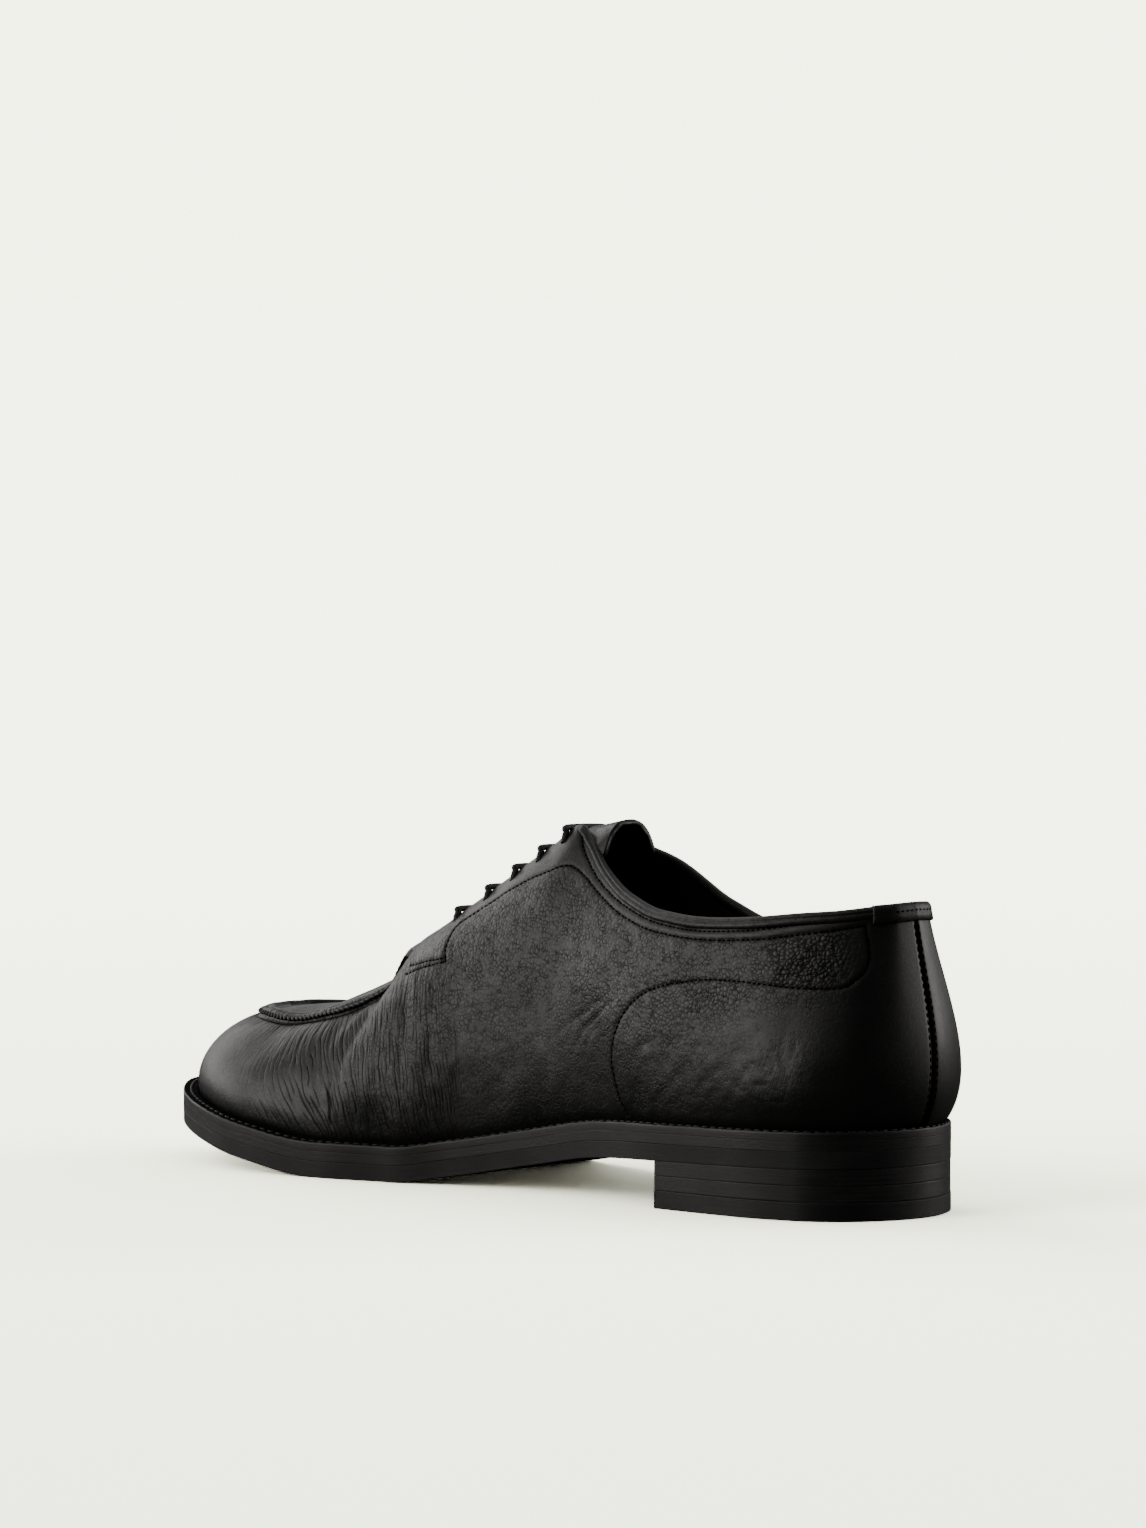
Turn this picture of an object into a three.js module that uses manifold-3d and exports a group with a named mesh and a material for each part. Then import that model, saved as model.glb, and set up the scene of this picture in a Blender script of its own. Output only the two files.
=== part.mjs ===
// A right men's split toe derby: grained leather upper with an apron, five open
// lace holes a side, a welted sole with a rubber outsole, and a stacked heel.
// Millimetres. +X runs to the toe, +Y to the inner side of the foot, +Z up.
import * as THREE from 'three';
import { mergeVertices } from 'three/addons/utils/BufferGeometryUtils.js';
import Module from 'manifold-3d';

const wasm = await Module();
wasm.setup();

// Driving dimensions
const soleLength = 304; // outsole, back of the heel to the toe
const ballWidth = 102; // outsole across the ball of the foot
const heelWidth = 75; // outsole across the heel
const heelLength = 78; // back of the heel to its breast
const breastHeight = 14.8; // floor to the outsole at the heel breast
const heelPitch = 1.5; // how much higher the seat is at the back than at the breast
const toeSpring = 14.5; // floor to the outsole at the toe
const outsoleThickness = 5.4;
const midsoleThickness = 3.2;
const weltThickness = 2.8;
const topLiftThickness = 5.8;
const liftCount = 2; // leather lifts between the top lift and the outsole
const insoleThickness = 2.2;
const weltLedge = 5; // welt that shows beyond the upper at the ball
const wall = 2.1; // leather and lining together
const backHeight = 96; // floor to the topline at the back of the heel
const insideDip = 90.3; // floor to the lowest point of the inner topline
const outsideDip = 84.5; // floor to the lowest point of the outer topline
const instepHeight = 115; // floor to the top corner of the facings
const throatHeight = 60; // floor to the point where facing and apron meet
const toeBoxHeight = 48.4; // floor to the apron seam at the toe
const collarWidth = 60; // across the topline where it is widest
const facingGap = 15; // between the two facings
const apronWidth = 49; // across the apron where it is widest
const seamHeight = 2; // apron seam above the leather
const seamHalfWidth = 3;
const splitSeamHeight = 1.0; // seam up the middle of the toe
const splitSeamHalfWidth = 2.2;
const beadDepth = 3.2; // rolled edge along the topline
const beadProud = 0.5;
const tabWidth = 26; // heel tab round the back of the topline
const tabDepth = 6.5;
const tabThickness = 1.2;
const holeRadius = 1.8;
const holeInset = 4.8; // lace hole to the facing edge
const holeCount = 5;
const laceRadius = 1.0;
const laceSides = 8; // flats round a lace bar
const tongueThickness = 1.8;
const tongueReach = 20; // under each facing
const tongueDrop = 7; // below the facings at the throat
const tongueTip = 15; // beyond the facings' top corners
const liftInset = 0.2; // leather lifts behind the outsole's edge
const midsoleInset = 0.1; // midsole behind the outsole's edge
const clearance = 0.3;

const leatherColour = 0x1b1a1a;
const smoothLeatherColour = 0x161515;
const rubberColour = 0x141414;
const liningColour = 0x1a1817;
const laceColour = 0x121214;

// Where the parts of the upper's edge and its row of lace holes begin and end, as shares of the
// way along the sole's side
const facingTop = 0.47;
const throat = 0.64;
const firstHole = 0.482;
const lastHole = 0.588;

// Outline of the sole. along: share of soleLength. half: share of the half width.
// centre: share of ballWidth, + to the inner side. front: 0 follows heelWidth, 1 ballWidth.
const outlineRows = [
  { along: 0.0, half: 0.0, centre: -0.01, front: 0 },
  { along: 0.012, half: 0.4, centre: -0.01, front: 0 },
  { along: 0.04, half: 0.71, centre: -0.009, front: 0 },
  { along: 0.08, half: 0.89, centre: -0.007, front: 0 },
  { along: 0.15, half: 0.985, centre: -0.005, front: 0 },
  { along: 0.25, half: 1.0, centre: -0.011, front: 0 },
  { along: 0.35, half: 0.86, centre: -0.034, front: 0.25 },
  { along: 0.45, half: 0.81, centre: -0.058, front: 0.5 },
  { along: 0.55, half: 0.855, centre: -0.061, front: 0.75 },
  { along: 0.62, half: 0.905, centre: -0.056, front: 1 },
  { along: 0.7, half: 0.985, centre: -0.04, front: 1 },
  { along: 0.76, half: 1.0, centre: -0.022, front: 1 },
  { along: 0.82, half: 0.965, centre: 0.0, front: 1 },
  { along: 0.88, half: 0.842, centre: 0.019, front: 1 },
  { along: 0.94, half: 0.622, centre: 0.029, front: 1 },
  { along: 0.975, half: 0.41, centre: 0.03, front: 1 },
  { along: 0.993, half: 0.235, centre: 0.028, front: 1 },
  { along: 1.0, half: 0.0, centre: 0.027, front: 1 },
];

// Underside of the outsole above the floor. along: share of soleLength.
// thick: share of outsoleThickness.
const profileRows = [
  { along: 0.0, height: breastHeight + heelPitch, thick: 1 },
  { along: heelLength / soleLength, height: breastHeight, thick: 1 },
  { along: 0.35, height: 0.9 * breastHeight, thick: 1 },
  { along: 0.45, height: 0.57 * breastHeight, thick: 1 },
  { along: 0.55, height: 0.2 * breastHeight, thick: 1 },
  { along: 0.62, height: 0, thick: 1 },
  { along: 0.71, height: 0, thick: 1 },
  { along: 0.8, height: 0.26 * toeSpring, thick: 0.93 },
  { along: 0.9, height: 0.65 * toeSpring, thick: 0.82 },
  { along: 1.0, height: toeSpring, thick: 0.72 },
];

// Upper edge of the sides: topline to facingTop, facing edge to throat, then the apron seam.
// t: share of the way along the sole's side. x: share of soleLength. in and out: the two sides.
const collar = collarWidth / 2;
const gapHalf = facingGap / 2;
const apron = apronWidth / 2;
const back = backHeight;
const dipIn = insideDip;
const dipOut = outsideDip;
const instep = instepHeight;
const ring = toeBoxHeight;
const dell = throatHeight;
const edgeRows = [
  { t: 0.0, x: 0.012, yIn: 0, yOut: 0, zIn: back, zOut: back },
  { t: 0.05, x: 0.0145, yIn: 0.21 * collar, yOut: -0.2 * collar, zIn: 0.998 * back, zOut: 0.998 * back },
  { t: 0.1, x: 0.028, yIn: 0.43 * collar, yOut: -0.41 * collar, zIn: 0.993 * back, zOut: 0.99 * back },
  { t: 0.15, x: 0.055, yIn: 0.66 * collar, yOut: -0.64 * collar, zIn: 0.98 * back, zOut: 0.972 * back },
  { t: 0.2, x: 0.094, yIn: 0.85 * collar, yOut: -0.84 * collar, zIn: 1.03 * dipIn, zOut: 1.072 * dipOut },
  { t: 0.26, x: 0.15, yIn: 0.99 * collar, yOut: -0.99 * collar, zIn: 1.01 * dipIn, zOut: 1.03 * dipOut },
  { t: 0.31, x: 0.212, yIn: collar, yOut: -collar, zIn: dipIn, zOut: dipOut },
  { t: 0.36, x: 0.272, yIn: 0.93 * collar, yOut: -0.96 * collar, zIn: 1.013 * dipIn, zOut: 1.0 * dipOut },
  { t: 0.4, x: 0.329, yIn: 0.78 * collar, yOut: -0.82 * collar, zIn: 1.06 * dipIn, zOut: 1.083 * dipOut },
  { t: 0.43, x: 0.378, yIn: 0.58 * collar, yOut: -0.57 * collar, zIn: 0.893 * instep, zOut: 0.9 * instep },
  { t: 0.455, x: 0.417, yIn: 1.5 * gapHalf, yOut: -0.95 * gapHalf, zIn: 0.965 * instep, zOut: 0.962 * instep },
  { t: facingTop, x: 0.438, yIn: 1.2 * gapHalf, yOut: -0.7 * gapHalf, zIn: instep, zOut: 0.995 * instep },
  { t: 0.5, x: 0.478, yIn: 1.15 * gapHalf, yOut: -0.65 * gapHalf, zIn: 0.942 * instep, zOut: 0.937 * instep },
  { t: 0.56, x: 0.562, yIn: 1.2 * gapHalf, yOut: -0.7 * gapHalf, zIn: 0.809 * instep, zOut: 0.804 * instep },
  { t: 0.6, x: 0.624, yIn: 1.4 * gapHalf, yOut: -0.9 * gapHalf, zIn: 0.706 * instep, zOut: 0.701 * instep },
  { t: 0.625, x: 0.668, yIn: 0.52 * apron, yOut: -0.38 * apron, zIn: 0.625 * instep, zOut: 0.62 * instep },
  { t: throat, x: 0.682, yIn: 0.68 * apron, yOut: -0.6 * apron, zIn: dell, zOut: 0.985 * dell },
  { t: 0.66, x: 0.7, yIn: 0.84 * apron, yOut: -0.78 * apron, zIn: 0.935 * dell, zOut: 0.925 * dell },
  { t: 0.7, x: 0.743, yIn: 1.01 * apron, yOut: -0.95 * apron, zIn: 1.06 * ring, zOut: 1.055 * ring },
  { t: 0.76, x: 0.803, yIn: 1.01 * apron, yOut: -0.95 * apron, zIn: 0.985 * ring, zOut: 0.99 * ring },
  { t: 0.82, x: 0.845, yIn: 0.89 * apron, yOut: -0.83 * apron, zIn: ring, zOut: 0.99 * ring },
  { t: 0.88, x: 0.872, yIn: 0.66 * apron, yOut: -0.6 * apron, zIn: ring, zOut: 0.995 * ring },
  { t: 0.94, x: 0.888, yIn: 0.35 * apron, yOut: -0.29 * apron, zIn: ring, zOut: ring },
  { t: 1.0, x: 0.893, yIn: 0.03 * apron, yOut: 0.03 * apron, zIn: ring, zOut: ring },
];

// How the side swells between the sole and its upper edge. belly and shoulder push out,
// as shares of heelWidth; lift and drop are shares of the height between the two edges.
const swellRows = [
  { t: 0.0, belly: 0.155, lift: 0.25, shoulder: 0.035, drop: 0.32 },
  { t: 0.1, belly: 0.165, lift: 0.25, shoulder: 0.045, drop: 0.32 },
  { t: 0.2, belly: 0.125, lift: 0.24, shoulder: 0.06, drop: 0.32 },
  { t: 0.3, belly: 0.09, lift: 0.27, shoulder: 0.07, drop: 0.3 },
  { t: 0.4, belly: 0.1, lift: 0.29, shoulder: 0.13, drop: 0.25 },
  { t: 0.5, belly: 0.085, lift: 0.27, shoulder: 0.245, drop: 0.095 },
  { t: 0.6, belly: 0.07, lift: 0.25, shoulder: 0.27, drop: 0.09 },
  { t: 0.64, belly: 0.06, lift: 0.28, shoulder: 0.21, drop: 0.18 },
  { t: 0.7, belly: 0.05, lift: 0.36, shoulder: 0.16, drop: 0.16 },
  { t: 0.8, belly: 0.04, lift: 0.42, shoulder: 0.17, drop: 0.12 },
  { t: 0.9, belly: 0.035, lift: 0.42, shoulder: 0.19, drop: 0.11 },
  { t: 1.0, belly: 0.03, lift: 0.42, shoulder: 0.2, drop: 0.1 },
];

// Welt that shows: share of weltLedge, on the inner and the outer side
const ledgeRows = [
  { t: 0.0, in: 0.3, out: 0.3 },
  { t: 0.2, in: 0.4, out: 0.4 },
  { t: 0.4, in: 0.5, out: 0.6 },
  { t: 0.5, in: 0.6, out: 0.8 },
  { t: 0.65, in: 0.95, out: 1.0 },
  { t: 0.85, in: 1.05, out: 1.05 },
  { t: 1.0, in: 1.1, out: 1.1 },
];

// Rise of the apron's middle above its seam: share of apronWidth
const crownRows = [
  { t: throat, rise: 0.15 },
  { t: 0.66, rise: 0.165 },
  { t: 0.7, rise: 0.14 },
  { t: 0.76, rise: 0.08 },
  { t: 0.82, rise: 0.045 },
  { t: 0.9, rise: 0.018 },
  { t: 1.0, rise: 0.0 },
];

// How the tongue lies. drop: share of tongueDrop. rise: middle, share of facingGap.
const tongueRows = [
  { t: facingTop, drop: 0.15, rise: 0.12 },
  { t: 0.53, drop: 0.13, rise: 0.12 },
  { t: 0.56, drop: 0.14, rise: 0.13 },
  { t: 0.585, drop: 0.26, rise: 0.16 },
  { t: 0.61, drop: 0.64, rise: 0.22 },
  { t: 0.63, drop: 1.0, rise: 0.27 },
];

// A smooth curve through one column of a table that never overshoots its rows
function column(rows, key, name, warp = (v) => v) {
  const xs = rows.map((row) => warp(row[key]));
  const ys = rows.map((row) => row[name]);
  const last = xs.length - 1;
  const slopes = xs.slice(1).map((x, i) => (ys[i + 1] - ys[i]) / (x - xs[i]));
  const tangents = xs.map((_, i) => {
    if (i === 0) return slopes[0];
    if (i === last) return slopes[last - 1];
    if (slopes[i - 1] * slopes[i] <= 0) return 0;
    return (2 * slopes[i - 1] * slopes[i]) / (slopes[i - 1] + slopes[i]);
  });
  return (value) => {
    const v = Math.min(Math.max(warp(value), xs[0]), xs[last]);
    let i = 0;
    while (i < last - 1 && v > xs[i + 1]) i += 1;
    const h = xs[i + 1] - xs[i];
    const s = (v - xs[i]) / h;
    const a = ys[i] * (1 + 2 * s) * (1 - s) * (1 - s) + tangents[i] * h * s * (1 - s) * (1 - s);
    const b = ys[i + 1] * s * s * (3 - 2 * s) + tangents[i + 1] * h * s * s * (s - 1);
    return a + b;
  };
}

const vec = (x, y, z) => new THREE.Vector3(x, y, z);
const up = vec(0, 0, 1);

// The way along the side as an angle, so that stations crowd at the round ends
const turned = (along) => Math.acos(1 - 2 * along) / Math.PI;
const shareAt = (t) => (1 - Math.cos(Math.PI * t)) / 2;

const halfShare = column(outlineRows, 'along', 'half', turned);
const centreShare = column(outlineRows, 'along', 'centre', turned);
const frontShare = column(outlineRows, 'along', 'front', turned);
const underside = column(profileRows, 'along', 'height');
const thickShare = column(profileRows, 'along', 'thick');

// Height of the outsole's underside, and of each layer's top, at a place along the sole
const outsoleBottom = (x) => underside(x / soleLength);
const outsoleTop = (x) => outsoleBottom(x) + thickShare(x / soleLength) * outsoleThickness;
const midsoleTop = (x) => outsoleTop(x) + midsoleThickness;
const weltTop = (x) => midsoleTop(x) + weltThickness;

// A point on the sole's edge: q runs from 0 at the back of the heel to 1 at the toe along
// the inner side and to -1 along the outer side
function outlinePoint(q) {
  const along = shareAt(Math.abs(q));
  const width = THREE.MathUtils.lerp(heelWidth, ballWidth, frontShare(along));
  const side = Math.sign(q) || 1;
  const across = centreShare(along) * ballWidth + (side * halfShare(along) * width) / 2;
  return vec(along * soleLength, across, 0);
}

function wrapped(q) {
  if (q > 1) return q - 2;
  return q < -1 ? q + 2 : q;
}

function outwards(q) {
  const step = 0.004;
  const run = outlinePoint(wrapped(q + step)).sub(outlinePoint(wrapped(q - step)));
  return vec(-run.y, run.x, 0).normalize();
}

function insetPoint(q, inset) {
  return outlinePoint(q).addScaledVector(outwards(q), -inset);
}

const ledgeIn = column(ledgeRows, 't', 'in');
const ledgeOut = column(ledgeRows, 't', 'out');
const ledge = (q) => weltLedge * (q > 0 ? ledgeIn : ledgeOut)(Math.abs(q));

const edge = Object.fromEntries(
  ['x', 'yIn', 'yOut', 'zIn', 'zOut'].map((name) => [name, column(edgeRows, 't', name)]),
);
const swell = Object.fromEntries(
  ['belly', 'lift', 'shoulder', 'drop'].map((name) => [name, column(swellRows, 't', name)]),
);

function edgePoint(q) {
  const t = Math.abs(q);
  const [y, z] = q > 0 ? [edge.yIn, edge.zIn] : [edge.yOut, edge.zOut];
  return vec(edge.x(t) * soleLength, y(t), z(t));
}

// The edge with its corners eased, which the swell of the side follows
function easedEdge(q) {
  const t = Math.abs(q);
  const side = q > 0 ? 1 : -1;
  const [behind, ahead] = [Math.max(t - 0.03, 0), Math.min(t + 0.03, 1)];
  const around = edgePoint(side * behind).add(edgePoint(side * ahead)).multiplyScalar(0.5);
  return t < 0.03 || t > 0.97 ? edgePoint(q) : around.lerp(edgePoint(q), 0.4);
}

// The side of the upper: s runs from 0 at the sole to 1 at the upper edge
function sidePoint(q, s) {
  const t = Math.abs(q);
  const foot = insetPoint(q, ledge(q));
  foot.z = weltTop(foot.x);
  const top = edgePoint(q);
  const rise = top.z - foot.z;
  const out = outwards(q);
  const low = foot.clone().addScaledVector(out, swell.belly(t) * heelWidth);
  low.z += swell.lift(t) * rise;
  const high = easedEdge(q).addScaledVector(out, swell.shoulder(t) * heelWidth);
  high.z -= swell.drop(t) * rise;
  const r = 1 - s;
  return foot
    .multiplyScalar(r * r * r)
    .addScaledVector(low, 3 * r * r * s)
    .addScaledVector(high, 3 * r * s * s)
    .addScaledVector(top, s * s * s);
}

function sideNormal(q, s) {
  const dq = 0.004;
  const ds = 0.004;
  const run = sidePoint(wrapped(q + dq), s).sub(sidePoint(wrapped(q - dq), s));
  const climb = sidePoint(q, Math.min(s + ds, 1)).sub(sidePoint(q, Math.max(s - ds, 0)));
  return climb.cross(run).normalize();
}

// Share of the way up that lies a distance below the upper edge
function shareBelow(q, distance) {
  const parts = 40;
  let length = 0;
  let last = sidePoint(q, 1);
  for (let i = 1; i <= parts; i += 1) {
    const next = sidePoint(q, 1 - i / parts);
    const gap = next.distanceTo(last);
    if (length + gap >= distance) return 1 - (i - 1 + (distance - length) / gap) / parts;
    length += gap;
    last = next;
  }
  return 0;
}

// How far the outer face stands off the plain side, a distance below its upper edge
function proud(q, below) {
  const t = Math.abs(q);
  let height = 0;
  if (t > throat) height += seamHeight * Math.max(0, 1 - (below / seamHalfWidth) ** 3);
  if (t < facingTop) height += beadProud * Math.max(0, 1 - Math.abs((2 * below) / beadDepth - 1) ** 3);
  return height;
}

const crown = column(crownRows, 't', 'rise');

// The apron between the two seams: c runs from 0 at the inner seam to 1 at the outer one
function apronPoint(t, c) {
  const point = edgePoint(t).lerp(edgePoint(-t), c);
  point.z += crown(t) * apronWidth * (1 - (2 * c - 1) ** 2);
  return point;
}

function apronNormal(t, c) {
  const dt = 0.004;
  const ahead = Math.min(t + dt, 1);
  const behind = Math.max(t - dt, throat);
  const run = apronPoint(ahead, c).sub(apronPoint(behind, c));
  const across = apronPoint(t, Math.max(c - dt, 0)).sub(apronPoint(t, Math.min(c + dt, 1)));
  return across.lengthSq() < 1e-6 ? up.clone() : run.cross(across).normalize();
}

// Triangles are gathered as loose corners and joined at the end
function gather() {
  const corners = [];
  const triangle = (a, b, c) => {
    const flat = a.distanceTo(b) < 1e-4 || b.distanceTo(c) < 1e-4 || c.distanceTo(a) < 1e-4;
    if (!flat) corners.push(a.x, a.y, a.z, b.x, b.y, b.z, c.x, c.y, c.z);
  };
  const quad = (a, b, c, d) => {
    triangle(a, b, c);
    triangle(a, c, d);
  };
  // Quads between two rows of points, seen with the first row on the left
  const strip = (left, right, closed = false) => {
    const count = closed ? left.length : left.length - 1;
    for (let i = 0; i < count; i += 1) {
      const j = (i + 1) % left.length;
      quad(left[i], right[i], right[j], left[j]);
    }
  };
  return { corners, quad, strip };
}

function geometryOf(corners) {
  const geometry = new THREE.BufferGeometry();
  geometry.setAttribute('position', new THREE.Float32BufferAttribute(corners, 3));
  return mergeVertices(geometry, 1e-4);
}

function solidOf(geometry) {
  const bare = geometry.clone();
  bare.deleteAttribute('normal');
  bare.deleteAttribute('uv');
  const merged = mergeVertices(bare, 1e-4);
  const mesh = new wasm.Mesh({
    numProp: 3,
    vertProperties: new Float32Array(merged.attributes.position.array),
    triVerts: new Uint32Array(merged.index.array),
  });
  mesh.merge();
  return new wasm.Manifold(mesh);
}

function geometryOfSolid(solid) {
  const mesh = solid.getMesh();
  const geometry = new THREE.BufferGeometry();
  geometry.setAttribute('position', new THREE.Float32BufferAttribute(mesh.vertProperties, 3));
  geometry.setIndex(new THREE.BufferAttribute(mesh.triVerts, 1));
  return geometry;
}

const spread = (from, to, count) => {
  const step = (to - from) / count;
  return Array.from({ length: count + 1 }, (_, i) => from + step * i);
};

// The split toe seam's half width as a share of the way along the side
const toeRun = 0.02;
const toeArc = outlinePoint(1 - toeRun).distanceTo(outlinePoint(1));
const seamSpan = (toeRun * splitSeamHalfWidth) / toeArc;

// Stations along one side, with one at each corner of the upper edge
function stations() {
  return [
    ...spread(0, facingTop, 17).slice(0, -1),
    ...spread(facingTop, throat, 9).slice(0, -1),
    ...spread(throat, 1 - seamSpan, 14),
    1 - seamSpan / 2,
    1,
  ];
}

// Station list right round the shoe: toe, outer side, heel, inner side
function loopStations() {
  const side = stations();
  const outer = side.slice(1).map((t) => -t).reverse();
  return [...outer.slice(1), ...side];
}

function splitSeam(q, s) {
  const away = (1 - Math.abs(q)) / seamSpan;
  return splitSeamHeight * Math.max(0, 1 - away ** 3) * Math.min(1, 6 * s, 6 * (1 - s));
}

// The upper's outer face at a share s of its height, with the raised seams
function outerPoint(q, s, below) {
  const lift = proud(q, below) + splitSeam(q, s);
  return sidePoint(q, s).addScaledVector(sideNormal(q, s), lift);
}

// The foot of the wall, let down inside the welt
function footPoint(q, inset) {
  const point = insetPoint(q, ledge(q) + inset);
  point.z = midsoleTop(point.x) + clearance;
  return point;
}

function outerColumn(q) {
  const rolled = Math.abs(q) > throat ? seamHalfWidth : beadDepth;
  const limit = shareBelow(q, rolled);
  const rows = spread(0, limit, 9).map((s) => outerPoint(q, s, rolled));
  const finish = [0.72, 0.36, 0].map((part) => {
    const below = rolled * part;
    return outerPoint(q, shareBelow(q, below), below);
  });
  return [footPoint(q, 0), ...rows, ...finish];
}

function innerColumn(q, depth) {
  const shares = [0, 0.18, 0.36, 0.54, 0.7, 0.82, 0.92, 1];
  const rows = shares.map((s) => sidePoint(q, s).addScaledVector(sideNormal(q, s), -depth));
  return [footPoint(q, depth), ...rows];
}

// Points across the apron, from seam to seam; the ends are given
function apronRow(t, ends, lift) {
  const width = edgePoint(t).distanceTo(edgePoint(-t));
  const share = Math.min(seamHalfWidth / width, 0.25);
  const flat = spread(share, 1 - share, 6).slice(1, -1);
  const shares = [share / 2, share, ...flat, 1 - share, 1 - share / 2];
  const middle = shares.map((c) => {
    const away = Math.min(c, 1 - c) / share;
    const height = lift < 0 ? lift : seamHeight * Math.max(0, 1 - away ** 3);
    return apronPoint(t, c).addScaledVector(apronNormal(t, c), height);
  });
  return [ends[0], ...middle, ends[1]];
}

// One wall: sides all round, joined at the back and up the split toe, with the apron let in
function upperShell() {
  const { corners, strip } = gather();
  const qs = loopStations();
  const outer = qs.map((q) => outerColumn(q));
  const inner = qs.map((q) => innerColumn(q, wall));
  const count = qs.length;
  for (let i = 0; i < count; i += 1) {
    const j = (i + 1) % count;
    strip(outer[j], outer[i]);
    strip(inner[i], inner[j]);
    strip([outer[i][0], inner[i][0]], [outer[j][0], inner[j][0]]);
    const open = Math.abs(qs[i]) <= throat + 1e-9 && Math.abs(qs[j]) <= throat + 1e-9;
    if (open) strip([outer[j].at(-1), inner[j].at(-1)], [outer[i].at(-1), inner[i].at(-1)]);
  }
  const front = stations().filter((t) => t >= throat - 1e-9);
  const at = (q) => qs.findIndex((value) => Math.abs(value - (q === -1 ? 1 : q)) < 1e-9);
  const tops = front.map((t) => apronRow(t, [outer[at(t)].at(-1), outer[at(-t)].at(-1)], 0));
  const unders = front.map((t) => apronRow(t, [inner[at(t)].at(-1), inner[at(-t)].at(-1)], -wall));
  const tip = front.length - 1;
  tops[tip].fill(outer[at(1)].at(-1));
  unders[tip].fill(inner[at(1)].at(-1));
  for (let i = 0; i < tip; i += 1) {
    strip(tops[i + 1], tops[i]);
    strip(unders[i], unders[i + 1]);
  }
  strip(tops[0], unders[0]);
  return solidOf(geometryOf(corners));
}

function laceHoles() {
  return spread(firstHole, lastHole, holeCount - 1);
}

function holeCutter(q) {
  const s = shareBelow(q, holeInset);
  const normal = sideNormal(q, s);
  const cutter = new THREE.CylinderGeometry(holeRadius, holeRadius, 6 * wall, 10);
  cutter.applyQuaternion(new THREE.Quaternion().setFromUnitVectors(vec(0, 1, 0), normal));
  cutter.translate(...sidePoint(q, s).toArray());
  return solidOf(cutter);
}

function upper() {
  const cutters = laceHoles().flatMap((t) => [holeCutter(t), holeCutter(-t)]);
  const solid = cutters.reduce((left, cutter) => left.subtract(cutter), upperShell());
  return geometryOfSolid(solid);
}

// A layer of the sole: slices across it between two heights, from one place along to another
function layer(bottom, top, inset, from = 0, to = 1) {
  const { corners, strip, quad } = gather();
  const ts = spread(turned(from), turned(to), 44);
  const slices = ts.map((t) => {
    const [inner, outer] = [insetPoint(t, inset(t)), insetPoint(-t, inset(-t))];
    const corner = (point, height) => vec(point.x, point.y, height(point.x));
    return [corner(inner, bottom), corner(outer, bottom), corner(outer, top), corner(inner, top)];
  });
  for (let i = 0; i < slices.length - 1; i += 1) strip(slices[i], slices[i + 1], true);
  quad(...slices[0]);
  quad(...slices.at(-1).slice().reverse());
  return geometryOf(corners);
}

// The welt: a band between the sole's edge and the foot of the upper
function welt() {
  const { corners, strip } = gather();
  const sections = loopStations().map((q) => {
    const rim = insetPoint(q, 0);
    const seat = insetPoint(q, ledge(q) - clearance);
    const at = (point, height) => vec(point.x, point.y, height(point.x));
    const floor = (x) => midsoleTop(x) + clearance;
    return [at(rim, floor), at(rim, weltTop), at(seat, weltTop), at(seat, floor)];
  });
  for (let i = 0; i < sections.length; i += 1) {
    strip(sections[(i + 1) % sections.length], sections[i], true);
  }
  return geometryOf(corners);
}

function insole() {
  const seat = (x) => midsoleTop(x) + clearance;
  const face = (x) => seat(x) + insoleThickness;
  return layer(seat, face, (q) => ledge(q) + wall + clearance);
}

// The tongue: under the apron at the throat, then under the facings and out past their corners
function apronTongueRow(t) {
  const shares = [0.08, 0.2, 0.32, 0.42, 0.5, 0.58, 0.68, 0.8, 0.92];
  const depth = wall + 0.2 * tongueDrop;
  return shares.map((c) => apronPoint(t, c).addScaledVector(apronNormal(t, c), -depth));
}

const tongueFall = column(tongueRows, 't', 'drop');
const tongueRise = column(tongueRows, 't', 'rise');

function facingTongueRow(t) {
  const depth = wall + tongueFall(t) * tongueDrop;
  const under = (q, below) => {
    const s = shareBelow(q, below);
    return sidePoint(q, s).addScaledVector(sideNormal(q, s), -depth);
  };
  const steps = [1, 0.66, 0.33, 0];
  const inner = steps.map((part) => under(t, tongueReach * part));
  const outer = steps.map((part) => under(-t, tongueReach * part)).reverse();
  const middle = inner.at(-1).clone().lerp(outer[0], 0.5);
  middle.z += tongueRise(t) * facingGap;
  return [...inner, middle, ...outer];
}

function tongue() {
  const { corners, strip } = gather();
  const tops = [0.675, throat + 0.012].map(apronTongueRow);
  tops.push(...spread(throat - 0.01, facingTop + 0.004, 10).map(facingTongueRow));
  const last = tops.at(-1);
  const middle = last[(last.length - 1) / 2];
  const tipRows = [[0.4, 0.8], [0.73, 0.74], [1, 0.56]];
  for (const [share, keep] of tipRows) {
    const run = share * tongueTip;
    tops.push(
      last.map((point) => {
        const moved = point.clone().sub(middle).multiplyScalar(keep).add(middle);
        return moved.add(vec(-0.96 * run, 0, 0.2 * run));
      }),
    );
  }
  const unders = tops.map((row, i) => {
    const before = tops[Math.max(i - 1, 0)];
    const after = tops[Math.min(i + 1, tops.length - 1)];
    return row.map((point, k) => {
      const along = after[k].clone().sub(before[k]);
      const across = row[Math.min(k + 1, row.length - 1)].clone().sub(row[Math.max(k - 1, 0)]);
      const normal = across.cross(along).normalize();
      return point.clone().addScaledVector(normal, normal.z > 0 ? -tongueThickness : tongueThickness);
    });
  });
  const loops = tops.map((row, i) => [...row, ...unders[i].slice().reverse()]);
  for (let i = 0; i < loops.length - 1; i += 1) strip(loops[i], loops[i + 1], true);
  strip(unders[0], tops[0]);
  strip(tops.at(-1), unders.at(-1));
  return geometryOf(corners);
}

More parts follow.
